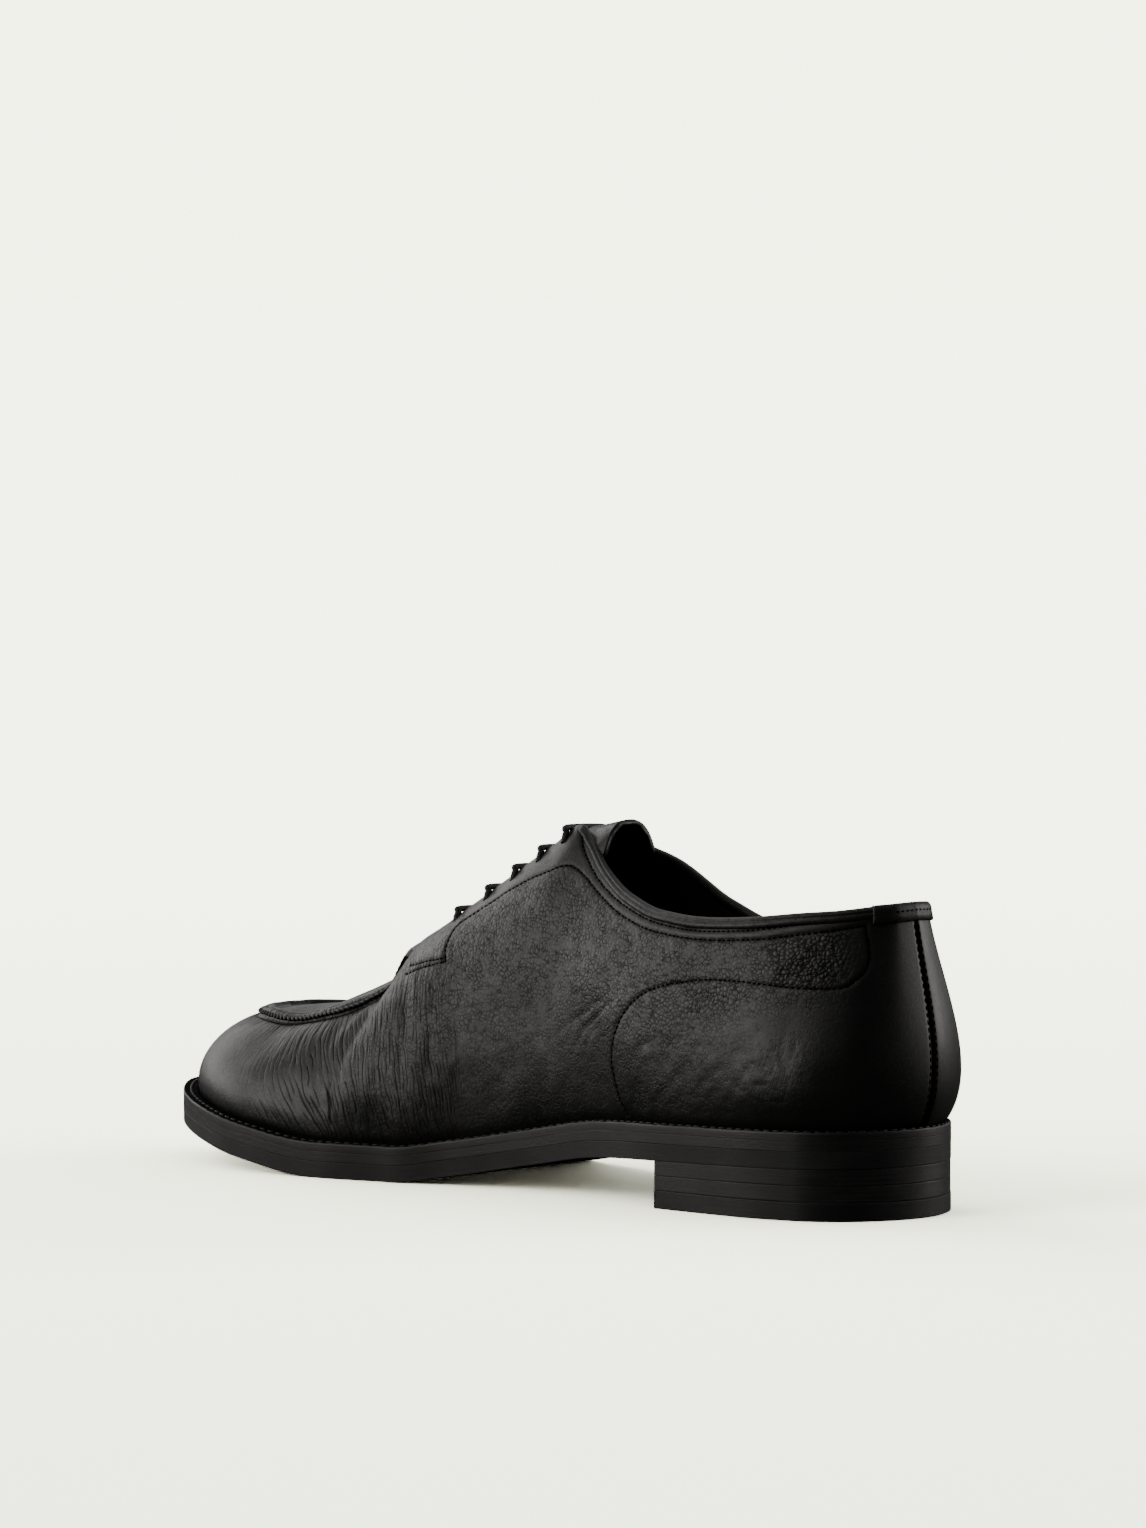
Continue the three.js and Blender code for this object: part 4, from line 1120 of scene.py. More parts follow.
@dataclass
class SoleLayer:
    """One layer of the sole or heel, with its edge's corners eased."""

    form: ShoeForm
    name: str
    node: str
    slot: str
    bottom: Callable[[Array], Array]
    top: Callable[[Array], Array]
    inset: float = 0.0
    end: float = 1.0
    bevel: float = 0.4
    uneven: float = 0.0
    columns: int = 520
    rings: int = 14

    def outline(self) -> Array:
        """The layer's rim in plan, once round."""
        last = math.acos(1 - 2 * self.end) / math.pi
        q = np.linspace(-last, last, self.columns)
        rim = self.form.inset(q, np.full_like(q, self.inset))
        if self.end < 1:
            across = np.linspace(rim[-1], rim[0], 60)[1:-1]
            return np.concatenate([rim, across])
        return rim[:-1]

    def build(self, materials: Sequence[bpy.types.Material]) -> bpy.types.Object:
        """Make the layer."""
        z = self.form.sizes
        rim = self.outline()
        count = len(rim)
        run = unit(np.roll(rim, -1, 0) - np.roll(rim, 1, 0))
        out = np.stack([-run[:, 1], run[:, 0], np.zeros(count)], -1)
        if np.dot(out[0], rim[0] - rim.mean(0)) < 0:
            out = -out
        length = run_along(rim)
        rim = rim + out * (self.uneven * Noise(31)(length / 9, length * 0 + 0.5))[:, None]
        half = np.abs(rim[:, 1] - rim[:, 1].mean()).max()
        centre_x = rim[:, 0].mean()
        low_x, high_x = rim[:, 0].min() + half * 0.9, rim[:, 0].max() - half * 0.9
        spine_x = np.clip(rim[:, 0], min(low_x, centre_x), max(high_x, centre_x))
        angle = np.arccos(1 - 2 * np.clip(spine_x / z.sole_length, 0, 1)) / np.pi
        spine = np.stack([spine_x, self.form.centre(angle) * z.ball_width, np.zeros(count)], -1)
        inner = rim - out * self.bevel
        loops, drops, sole = [], [], []

        def ring(plan: Array, level: float, lift: float) -> None:
            """Add the plan lifted to a share of the layer's height."""
            low, high = self.bottom(plan[:, 0]), self.top(plan[:, 0])
            made = plan.copy()
            made[:, 2] = low + (high - low) * level + lift
            loops.append(made)
            drops.append(made[:, 2] - low)
            sole.append(np.full(count, float(level == 0 and lift == 0)))

        for f in np.linspace(1, 0, self.rings):
            ring(inner + (spine - inner) * f, 0, 0)
        for angle in (30, 60, 90):
            r = math.radians(angle)
            ring(inner + out * self.bevel * math.sin(r), 0, self.bevel * (1 - math.cos(r)))
        for level in (0.07, 0.3, 0.5, 0.7, 0.93):
            ring(rim, level, 0)
        for angle in (90, 60, 30, 0):
            r = math.radians(angle)
            ring(inner + out * self.bevel * math.sin(r), 1, -self.bevel * (1 - math.cos(r)))
        for f in np.linspace(0, 1, self.rings)[1:]:
            ring(inner + (spine - inner) * f, 1, 0)
        grid = np.array(loops)
        uv = np.stack([np.broadcast_to(length, grid.shape[:2]), np.array(drops)], -1).reshape(-1, 2) * MM
        faces = lattice_faces(grid.shape[0], grid.shape[1], False, True)
        shell = Shell(self.name, grid.reshape(-1, 3), faces, uv=uv, marks={"sole": np.array(sole)})
        return shell.outward().build(materials, self.slot, [self.node])


@dataclass
class Sole:
    """Everything under the upper."""

    form: ShoeForm
    columns: int = 1500
    notch: float = 0.22
    notch_step: float = 2.1

    def welt(self, materials: Sequence[bpy.types.Material]) -> bpy.types.Object:
        """The band round the foot of the upper, its top pressed and rough."""
        form, z = self.form, self.form.sizes
        q = np.linspace(-1, 1, self.columns + 1)[:-1]
        wide = form.ledge(q) - z.clearance
        rim = form.inset(q, 0 * q)
        length = run_along(rim)
        none = 0 * wide
        stops = [
            (none + 0.05, 0.0), (none, 0.02), (none, 0.06), (none, 0.3), (none, 0.75), (none + 0.04, 0.93),
            (none + 0.22, 0.99), (none + 0.6, 1.0), (wide * 0.3, 1.0), (wide * 0.42, 1.0),
            (wide * 0.54, 1.0), (wide * 0.68, 0.99), (wide * 0.84, 0.97), (wide, 0.93), (wide, 0.0),
        ]
        pressed, notched = range(6, 13), range(7, 10)
        loops, uv = [], []
        for k, (inset, level) in enumerate(stops):
            ring = form.inset(q, inset)
            low = form.midsole_top(ring[:, 0]) + 0.01
            ring[:, 2] = low + (form.welt_top(ring[:, 0]) - low) * level
            if k in pressed:
                press = np.abs(np.sin(length * math.pi / self.notch_step)) - 0.5
                rough = 0.3 * Noise(32)(length / 1.6, inset / 0.9)
                ring[:, 2] += self.notch * press * (k in notched) + rough
            loops.append(ring)
            uv.append(np.stack([length, (level - inset / 6) * z.welt], -1))
        grid = np.array(loops).transpose(1, 0, 2)
        marks = np.array(uv).transpose(1, 0, 2).reshape(-1, 2) * MM
        kinds = np.zeros((self.columns, len(stops)), int)
        # Painted shade: the pressed top takes the second finish, darker and duller than the edge, for the
        # shadow under the upper's overhang.
        kinds[:, pressed] = 1
        shell = tube_of_loops("welt_band", grid, True, uv=marks, finishes=kinds.reshape(-1))
        return shell.build(materials, "smooth_leather", ["welt"])

    def welt_row(self, share: float, lift: float) -> tuple[Array, Array]:
        """A line along the welt's top, a share of the ledge inside its edge."""
        q = np.linspace(-0.995, 0.995, 1400)
        ring = self.form.inset(q, (self.form.ledge(q) - self.form.sizes.clearance) * share)
        ring[:, 2] = self.form.welt_top(ring[:, 0]) + lift
        return ring, np.tile([0.0, 0.0, 1.0], (len(q), 1))

    def layers(self) -> list[SoleLayer]:
        """The sole's flat layers and the heel's."""
        form, z = self.form, self.form.sizes
        breast = z.heel_length / z.sole_length
        floor = z.top_lift

        def level(height: float) -> Callable[[Array], Array]:
            """A flat face at a height."""

            def face(x: Array) -> Array:
                """The height, at every place."""
                return np.full_like(np.asarray(x, float), height)

            return face

        def over(base: Callable[[Array], Array], lift: float, share: float = 1.0) -> Callable[[Array], Array]:
            """A face a little above another, or part of the way up to it from the floor of the heel."""

            def face(x: Array) -> Array:
                """The height at each place."""
                return floor + (base(x) - floor) * share + lift

            return face

        seat = over(form.outsole_bottom, -0.05)
        return [
            SoleLayer(form, "midsole_edge", "midsole", "smooth_leather",
                      over(form.outsole_top, 0.05), form.midsole_top, 0.0, 1.0, 0.04, 0.0),
            SoleLayer(form, "outsole_rubber", "outsole", "sole_rubber",
                      form.outsole_bottom, form.outsole_top, 0.04, 1.0, 0.14, 0.0),
            SoleLayer(form, "heel_lift_lower", "heel_lift_1", "smooth_leather",
                      level(floor + 0.05), over(form.outsole_bottom, -0.03, 0.5), 0.2, breast, 0.1, 0.05),
            SoleLayer(form, "heel_lift_upper", "heel_lift_2", "smooth_leather",
                      over(form.outsole_bottom, 0.02, 0.5), seat, 0.2, breast, 0.1, 0.05),
            SoleLayer(form, "top_lift_rubber", "top_lift", "sole_rubber",
                      level(0.0), level(floor), 0.0, breast, 0.3, 0.0),
        ]

    def insole(self, materials: Sequence[bpy.types.Material]) -> bpy.types.Object:
        """The lining that the foot rests on."""
        form, z = self.form, self.form.sizes

        def low(x: Array) -> Array:
            """The insole's underside."""
            return form.midsole_top(x) + z.clearance

        def high(x: Array) -> Array:
            """The insole's upper face."""
            return low(x) + z.insole

        inset = z.ledge * 1.1 + z.wall + 0.1
        layer = SoleLayer(form, "insole_sock", "insole", "lining_leather", low, high, inset, 1.0, 0.5)
        return layer.build(materials)


@dataclass
class Laces:
    """One waxed lace: straight bars over the facings, flat runs below them, ends in the top holes."""

    form: ShoeForm
    sides: int = 18
    steps: int = 900

    def holes(self) -> Array:
        """Where the holes lie along the facing, lowest first."""
        return np.linspace(self.form.sizes.last_hole, self.form.sizes.first_hole, 5)

    def path(self) -> tuple[Array, Array, Array]:
        """The lace's way.

        Returns:
            Its points, the leather's direction at each, and how flat the lace lies there.
        """
        z = self.form.sizes
        over = 1.1 * z.lace_radius + z.clearance
        under = -(z.wall + 0.48)
        holes = self.holes()
        points, facing, flat = [], [], []

        def put(q: float, depth: float, lift: float, pressed: float) -> None:
            """Add a point a depth below the facing's edge."""
            s = self.form.share_below(q, depth)
            normal = self.form.side_normal(q, s)
            points.append(self.form.side(q, s) + normal * lift)
            facing.append(normal)
            flat.append(pressed)

        def rise(q: float, up: bool) -> None:
            """Through a hole, and on to the facing's edge or back from it."""
            steps = [
                (z.hole_inset, under * 0.7, 0.4), (z.hole_inset, -0.6 * z.wall, 0.1),
                (z.hole_inset - 0.2, -0.05 * over, 0), (z.hole_inset - 1.2, 0.34 * over, 0),
                (0.42 * z.hole_inset, 0.62 * over, 0), (0.08 * z.hole_inset, 0.9 * over, 0),
            ]
            for depth, lift, pressed in steps if up else steps[::-1]:
                put(q, depth, lift, pressed)

        for t in np.linspace(holes[-1] + 0.004, holes[0] - 0.012, 16):
            put(t, z.hole_inset + 2.9, under, 1)
        put(holes[0] - 0.004, z.hole_inset + 0.8, under, 1)
        side = 1
        for k, t in enumerate(holes):
            rise(side * t, True)
            side = -side
            rise(side * t, False)
            if k < len(holes) - 1:
                for way in np.linspace(t, holes[k + 1], 6)[1:-1]:
                    put(side * way, z.hole_inset, under, 1)
        return np.array(points), np.array(facing), np.array(flat)

    def build(self, materials: Sequence[bpy.types.Material]) -> bpy.types.Object:
        """Make the lace as one tube."""
        r = self.form.sizes.lace_radius
        points, facing, flat = self.path()
        whole = through(np.concatenate([points, facing, flat[:, None]], 1), self.steps)
        path, facing, flat = whole[:, :3], unit(whole[:, 3:6]), np.clip(whole[:, 6:], 0, 1)
        along = unit(np.gradient(path, axis=0))
        first = unit(np.cross(along[0], facing[0]))
        frames = [first]
        for k in range(1, len(path)):
            frames.append(unit(frames[-1] - along[k] * np.dot(frames[-1], along[k])))
        one = np.array(frames)
        two = np.cross(along, one)
        flatness = facing - along * (facing * along).sum(-1, keepdims=True)
        clear = np.linalg.norm(flatness, axis=-1) > 0.6
        angles = np.arctan2((flatness * two).sum(-1), (flatness * one).sum(-1))
        steps = np.arange(len(path))
        turn = np.interp(steps, steps[clear], np.unwrap(angles[clear], period=math.pi))
        up = one * np.cos(turn)[:, None] + two * np.sin(turn)[:, None]
        side = np.cross(along, up)
        round_ = np.linspace(0, 2 * np.pi, self.sides, endpoint=False)
        wide, thick = r * (1 + 0.3 * flat), r * (1 - 0.66 * flat)
        ring = np.cos(round_)[None, :, None] * (side * wide)[:, None]
        ring = ring + np.sin(round_)[None, :, None] * (up * thick)[:, None]
        length = run_along(path) * MM
        uv = np.stack(np.broadcast_arrays(length[:, None], round_[None, :]), -1).reshape(-1, 2)
        shell = tube_of_loops("lace", path[:, None] + ring, False, uv=uv)
        LOG.info("lace: %.0f mm of cord in the holes", length[-1] / MM)
        return shell.build(materials, "waxed_cord", [f"lace_bar_{k}" for k in range(1, 6)])


class Wiring:
    """A node tree, with a short way to add and join its nodes."""

    def __init__(self, tree: bpy.types.NodeTree) -> None:
        """Keep the tree."""
        self.tree = tree

    def add(self, kind: str, inputs: dict | None = None, **settings: object) -> bpy.types.Node:
        """Add a node.

        Args:
            kind: The node's type.
            inputs: Values or sockets, by the input's name or number.
            **settings: The node's own settings.

        Returns:
            The node.
        """
        node = self.tree.nodes.new(kind)
        for name, value in settings.items():
            setattr(node, name, value)
        for name, value in (inputs or {}).items():
            self.feed(node.inputs[name], value)
        return node

    def feed(self, socket: bpy.types.NodeSocket, value: object) -> None:
        """Join a socket to an input, or set the input to a value."""
        if isinstance(value, bpy.types.NodeSocket):
            self.tree.links.new(value, socket)
        else:
            socket.default_value = value

    def maths(self, operation: str, *values: object) -> bpy.types.NodeSocket:
        """One step of arithmetic on sockets or numbers."""
        return self.add("ShaderNodeMath", dict(enumerate(values)), operation=operation).outputs[0]

    def times(self, value: object, by: object) -> bpy.types.NodeSocket:
        """One value times another."""
        return self.maths("MULTIPLY", value, by)

    def scaled(self, value: object, by: object, plus: object) -> bpy.types.NodeSocket:
        """One value times another, plus a third."""
        return self.maths("MULTIPLY_ADD", value, by, plus)

    def parts(self, place: object) -> bpy.types.bpy_prop_collection:
        """The three numbers of a vector."""
        return self.add("ShaderNodeSeparateXYZ", {0: place}).outputs

    def joined(self, x: object, y: object, z: object = 0.0) -> bpy.types.NodeSocket:
        """A vector of three numbers."""
        return self.add("ShaderNodeCombineXYZ", {0: x, 1: y, 2: z}).outputs[0]

    def noise(self, place: object, scale: object, detail: float, **settings: object) -> bpy.types.Node:
        """Soft noise."""
        inputs = {"Vector": place, "Scale": scale, "Detail": detail}
        return self.add("ShaderNodeTexNoise", inputs, **settings)

    def flat_noise(self, place: object, detail: float = 1.0) -> bpy.types.NodeSocket:
        """Soft noise over two of a vector's numbers."""
        return self.noise(place, 1.0, detail, noise_dimensions="2D").outputs["Fac"]

    def between(
        self, value: object, low: float, high: float, start: float = 0.0, end: float = 1.0
    ) -> bpy.types.NodeSocket:
        """A soft step of a value from start to end."""
        inputs = {"Value": value, "From Min": low, "From Max": high, "To Min": start, "To Max": end}
        return self.add("ShaderNodeMapRange", inputs, interpolation_type="SMOOTHSTEP").outputs["Result"]

    def mixed(self, share: object, *ends: object) -> bpy.types.NodeSocket:
        """A colour between two, each a socket or three numbers."""
        first, second = ((*end, 1) if isinstance(end, tuple) else end for end in ends)
        return self.add("ShaderNodeMix", {0: share, 6: first, 7: second}, data_type="RGBA").outputs[2]


class Group(Enum):
    """The node groups that materials share."""

    PEBBLES = "pebbled_grain"
    PLEATS = "drawn_pleats"
    CLOUD = "handled_cloud"
    LINES = "burnished_lines"


def open_group(
    name: str, inputs: dict, outputs: Sequence[str], kind: str = "Shader", gives: str = "Float"
) -> tuple[bpy.types.NodeTree, Wiring, dict, dict]:
    """Start a node group.

    Args:
        name: Its name.
        inputs: The default of each number that goes in, or a word for another kind of input.
        outputs: The names of what it puts out.
        kind: What the tree works on.
        gives: The kind of its outputs.

    Returns:
        The group, its wiring, its inner inputs and the sockets to feed.
    """
    tree = bpy.data.node_groups.new(name, kind + "NodeTree")
    for label, value in inputs.items():
        word = value if isinstance(value, str) else "Float"
        socket = tree.interface.new_socket(label, in_out="INPUT", socket_type="NodeSocket" + word)
        if word == "Float":
            socket.default_value = value
    for label in outputs:
        tree.interface.new_socket(label, in_out="OUTPUT", socket_type="NodeSocket" + gives)
    start, end = tree.nodes.new("NodeGroupInput"), tree.nodes.new("NodeGroupOutput")
    return tree, Wiring(tree), start.outputs, end.inputs


def make_groups() -> None:
    """Build the shared groups: pebbled grain, drawn pleats, handled cloud and burnished lines."""
    inputs = {"Vector": "Vector", "Cell": 0.0012, "Depth": 0.0001, "Puff": 0.4}
    tree, w, i, o = open_group(Group.PEBBLES.value, inputs, ["Height", "Cracks"])
    place = w.add("ShaderNodeVectorMath", {0: i["Vector"], "Scale": w.maths("DIVIDE", 1.0, i["Cell"])},
                  operation="SCALE").outputs[0]
    warp = w.noise(place, 0.45, 1.0).outputs["Color"]
    warp = w.add("ShaderNodeVectorMath", {0: warp, "Scale": 1.3}, operation="SCALE").outputs[0]
    place = w.add("ShaderNodeVectorMath", {0: place, 1: warp}, operation="ADD").outputs[0]
    near, edge = (
        w.add("ShaderNodeTexVoronoi", {"Vector": place, "Scale": 1.0}, feature=kind).outputs["Distance"]
        for kind in ("F1", "DISTANCE_TO_EDGE")
    )
    patch = w.noise(place, 0.4, 1.0).outputs["Fac"]
    crack = w.times(w.between(edge, 0.0, 0.15, 1.0, 0.0), w.between(patch, 0.3, 0.62, 0.15, 1.0))
    dome = w.times(w.maths("SUBTRACT", 0.9, near), i["Puff"])
    tree.links.new(w.times(i["Depth"], w.scaled(crack, -0.26, dome)), o["Height"])
    tree.links.new(crack, o["Cracks"])

    inputs = {"Vector": "Vector", "Width": 0.0015, "Length": 0.009, "Depth": 0.0001}
    tree, w, i, o = open_group(Group.PLEATS.value, inputs, ["Height", "Valleys"])
    part = w.parts(i["Vector"])
    u, v = w.maths("DIVIDE", part[0], i["Width"]), w.maths("DIVIDE", part[1], i["Length"])
    bend = w.flat_noise(w.joined(w.times(u, 0.13), w.times(v, 0.6)))
    part = w.flat_noise(w.joined(w.times(u, 0.6), v))
    phase = w.scaled(bend, 1.6, w.scaled(part, 1.1, u))
    away = w.maths("PINGPONG", phase, 0.5)
    valley = w.times(w.between(away, 0.0, 0.2, 1.0, 0.0), w.between(part, 0.4, 0.58))
    height = w.maths("SUBTRACT", w.times(away, 0.7), valley)
    tree.links.new(w.times(height, i["Depth"]), o["Height"])
    tree.links.new(valley, o["Valleys"])

    tree, w, i, o = open_group(Group.CLOUD.value, {"Vector": "Vector", "Size": 0.03}, ["Cloud", "Specks"])
    scale = w.maths("DIVIDE", 1.0, i["Size"])
    slow = w.noise(i["Vector"], scale, 3.0).outputs["Fac"]
    fast = w.noise(i["Vector"], w.times(scale, 60.0), 1.0).outputs["Fac"]
    tree.links.new(w.between(slow, 0.32, 0.7), o["Cloud"])
    tree.links.new(w.between(fast, 0.6, 0.75), o["Specks"])

    inputs = {"Vector": "Vector", "Spacing": 0.0004, "Length": 0.03}
    tree, w, i, o = open_group(Group.LINES.value, inputs, ["Lines", "Scuffs"])
    part = w.parts(i["Vector"])
    grid = w.joined(w.maths("DIVIDE", part[0], i["Length"]), w.maths("DIVIDE", part[1], i["Spacing"]))
    line = w.flat_noise(grid, 2.0)
    scuff = w.noise(i["Vector"], 900.0, 2.0).outputs["Fac"]
    patch = w.noise(i["Vector"], 45.0, 1.0).outputs["Fac"]
    tree.links.new(w.between(line, 0.3, 0.7), o["Lines"])
    tree.links.new(w.times(w.between(scuff, 0.52, 0.66), w.between(patch, 0.5, 0.62)), o["Scuffs"])


Colour = tuple[float, float, float]


class Finish:
    """A material being put together round its own shader."""

    def __init__(self, name: str) -> None:
        """Start the material."""
        self.material = bpy.data.materials.new(name)
        self.material.use_nodes = True
        self.wiring = Wiring(self.material.node_tree)
        self.shader = self.material.node_tree.nodes["Principled BSDF"]
        place = self.wiring.add("ShaderNodeTexCoord").outputs
        self.object, self.uv = place["Object"], place["UV"]

    def group(self, kind: Group, inputs: dict) -> bpy.types.bpy_prop_collection:
        """Place a shared group.

        Args:
            kind: Which group.
            inputs: Its values.

        Returns:
            Its outputs.
        """
        tree = bpy.data.node_groups[kind.value]
        return self.wiring.add("ShaderNodeGroup", inputs, node_tree=tree).outputs

    def cloud(self, size: float) -> bpy.types.bpy_prop_collection:
        """Soft patches of a size in metres, and specks."""
        return self.group(Group.CLOUD, {"Vector": self.object, "Size": size})

    def mark(self, name: str) -> bpy.types.NodeSocket:
        """One of the piece's own marks."""
        return self.wiring.add("ShaderNodeAttribute", attribute_name=name).outputs["Fac"]

    def set(self, **values: object) -> None:
        """Fill the shader's sockets, with spaces for underlines."""
        for name, value in values.items():
            self.wiring.feed(self.shader.inputs[name.replace("_", " ")], value)

    def bumped(self, height: bpy.types.NodeSocket) -> None:
        """Raise the surface by a height in metres."""
        bump = self.wiring.add("ShaderNodeBump", {"Height": height, "Distance": 1.0, "Strength": 1.0})
        self.set(Normal=bump.outputs["Normal"])


@dataclass(frozen=True)
class Leather:
    """Black leather with a pebbled grain, pleats where it is drawn in, and a low shine."""

    name: str
    colour: Colour = (0.0035, 0.0034, 0.0033)
    worn: Colour = (0.011, 0.0102, 0.0092)
    roughness: float = 0.36
    spread: float = 0.16
    cell: float = 1.35
    pebble: float = 0.3
    pleat: float = 0.0
    coat: float = 0.1
    shine: float = 0.5
    marked: bool = False

    def build(self) -> bpy.types.Material:
        """Make the material."""
        finish = Finish(self.name)
        w = finish.wiring
        pebbled = finish.mark("pebbles") if self.marked else 0.5
        puff = w.between(pebbled, 0.9, 1.4, 0.22, 1.0)
        grain = finish.group(Group.PEBBLES, {
            "Vector": finish.object, "Cell": self.cell * MM, "Depth": self.pebble * MM, "Puff": puff})
        fine = finish.group(Group.PEBBLES, {"Vector": finish.object, "Cell": 0.45 * MM, "Depth": 0.035 * MM})
        cloud = finish.cloud(0.03)
        height, cracks = grain["Height"], grain["Cracks"]
        if self.marked:
            height, cracks = w.times(height, pebbled), w.times(cracks, pebbled)
        height = w.maths("ADD", height, fine["Height"])
        if self.pleat:
            drawn = finish.group(Group.PLEATS, {
                "Vector": finish.uv, "Width": 1.45 * MM, "Length": 9 * MM, "Depth": self.pleat * MM})
            height = w.scaled(drawn["Height"], finish.mark("folds"), height)
            # Painted shade: the pleats' valleys join the grain's cracks, which are painted darker and duller
            # below, as shade in their hollows.
            sunk = w.times(drawn["Valleys"], finish.mark("folds"))
            cracks = w.maths("MAXIMUM", cracks, sunk)
        finish.bumped(height)
        # The lighter worn tone follows random handled patches and is held back in the cracks and valleys as
        # painted shade; their shine drops too.
        shade = w.times(cloud["Cloud"], w.scaled(cracks, -0.8, 1.0))
        shine = w.scaled(cracks, -0.6 * self.shine, self.shine)
        if self.marked:
            # Painted shade: the seam mark darkens the colour and lowers the shine in the seams' grooves and
            # along the foot by the welt.
            out_of_painted_shade = w.scaled(finish.mark("seam"), -0.85, 1.0)
            shade, shine = w.times(shade, out_of_painted_shade), w.times(out_of_painted_shade, shine)
        rough = w.scaled(cloud["Cloud"], self.spread * 0.5, self.roughness)
        rough = w.scaled(cracks, self.spread, rough)
        finish.set(Base_Color=w.mixed(shade, self.colour, self.worn), Roughness=rough,
                   Coat_Weight=self.coat, Coat_Roughness=0.22, Specular_IOR_Level=shine)
        return finish.material


@dataclass(frozen=True)
class WaxedEdge:
    """Leather edges inked black and burnished, with fine lines along them."""

    name: str
    colour: Colour = (0.006, 0.0058, 0.0056)
    worn: Colour = (0.022, 0.021, 0.0197)
    roughness: float = 0.4
    lines: float = 0.008

    def build(self) -> bpy.types.Material:
        """Make the material."""
        finish = Finish(self.name)
        w = finish.wiring
        lines = finish.group(Group.LINES, {"Vector": finish.uv, "Spacing": 0.35 * MM, "Length": 26 * MM})
        cloud = finish.cloud(0.02)
        finish.bumped(w.scaled(lines["Scuffs"], -0.03 * MM, w.times(lines["Lines"], self.lines * MM)))
        shade = w.times(lines["Lines"], cloud["Cloud"])
        rough = w.scaled(lines["Lines"], 0.18, self.roughness)
        finish.set(Base_Color=w.mixed(shade, self.colour, self.worn), Roughness=rough,
                   Coat_Weight=0.1, Coat_Roughness=0.3)
        return finish.material


@dataclass(frozen=True)
class SoleRubber:
    """Moulded black rubber, dull, with a fine tread underneath."""

    name: str
    colour: Colour = (0.004, 0.004, 0.0042)
    worn: Colour = (0.014, 0.0135, 0.013)
    roughness: float = 0.52
    pitch: float = 1.25

    def build(self) -> bpy.types.Material:
        """Make the material."""
        finish = Finish(self.name)
        w = finish.wiring
        cloud = finish.cloud(0.025)
        lines = finish.group(Group.LINES, {"Vector": finish.uv, "Spacing": 0.6 * MM, "Length": 20 * MM})
        skin = finish.group(Group.PEBBLES, {"Vector": finish.object, "Cell": 0.5 * MM, "Depth": 0.02 * MM})
        along = w.parts(finish.object)[0]
        wave = w.maths("SINE", w.times(along, 2 * math.pi / (self.pitch * MM)))
        tread = w.times(w.times(wave, finish.mark("sole")), 0.12 * MM)
        finish.bumped(w.maths("ADD", tread, w.scaled(lines["Lines"], 0.01 * MM, skin["Height"])))
        rough = w.scaled(cloud["Cloud"], 0.15, self.roughness)
        shade = w.maths("MAXIMUM", w.times(cloud["Cloud"], 0.5), cloud["Specks"])
        finish.set(Base_Color=w.mixed(shade, self.colour, self.worn), Roughness=rough)
        return finish.material


@dataclass(frozen=True)
class WaxedCord:
    """Round waxed cord or thread with a laid twist."""

    name: str
    colour: Colour = (0.008, 0.008, 0.008)
    worn: Colour = (0.03, 0.03, 0.03)
    roughness: float = 0.45
    pitch: float = 1.1
    strands: int = 8
    depth: float = 0.045
    shine: float = 0.5

    def build(self) -> bpy.types.Material:
        """Make the material."""
        finish = Finish(self.name)
        w = finish.wiring
        part = w.parts(finish.uv)
        along = w.times(part[0], 2 * math.pi / (self.pitch * MM))
        one = w.maths("SINE", w.scaled(part[1], float(self.strands), along))
        two = w.maths("SINE", w.scaled(part[1], float(-self.strands), along))
        weave = w.maths("MAXIMUM", one, two)
        cloud = finish.cloud(0.01)
        finish.bumped(w.times(weave, self.depth * MM))
        shade = w.times(w.between(weave, -0.2, 1.0), cloud["Cloud"])
        rough = w.scaled(cloud["Cloud"], 0.15, self.roughness)
        finish.set(Base_Color=w.mixed(shade, self.colour, self.worn), Roughness=rough,
                   Specular_IOR_Level=self.shine)
        return finish.material


@dataclass(frozen=True)
class Paper:
    """The pale paper of the studio: bright to the camera, dimmer to the shoe's gloss."""

    name: str
    near: Colour = (6.95, 7.09, 5.82)
    far: Colour = (9.78, 10.19, 8.02)
    bounce: Colour = (0.06, 0.06, 0.057)
    away: tuple[float, float] = (0.678, -0.735)

    def build(self) -> bpy.types.Material:
        """Make the material."""
        finish = Finish(self.name)
        w = finish.wiring
        cloud = finish.cloud(0.8)
        place = w.parts(finish.object)
        back = w.scaled(place[1], self.away[1], w.times(place[0], self.away[0]))
        share = w.scaled(cloud["Cloud"], 0.01, w.between(back, -0.9, 1.6))
        shade = w.mixed(share, self.near, self.far)
        seen = w.add("ShaderNodeLightPath").outputs["Is Camera Ray"]
        finish.set(Base_Color=w.mixed(seen, self.bounce, shade), Roughness=0.95, Specular_IOR_Level=0.0)
        return finish.material


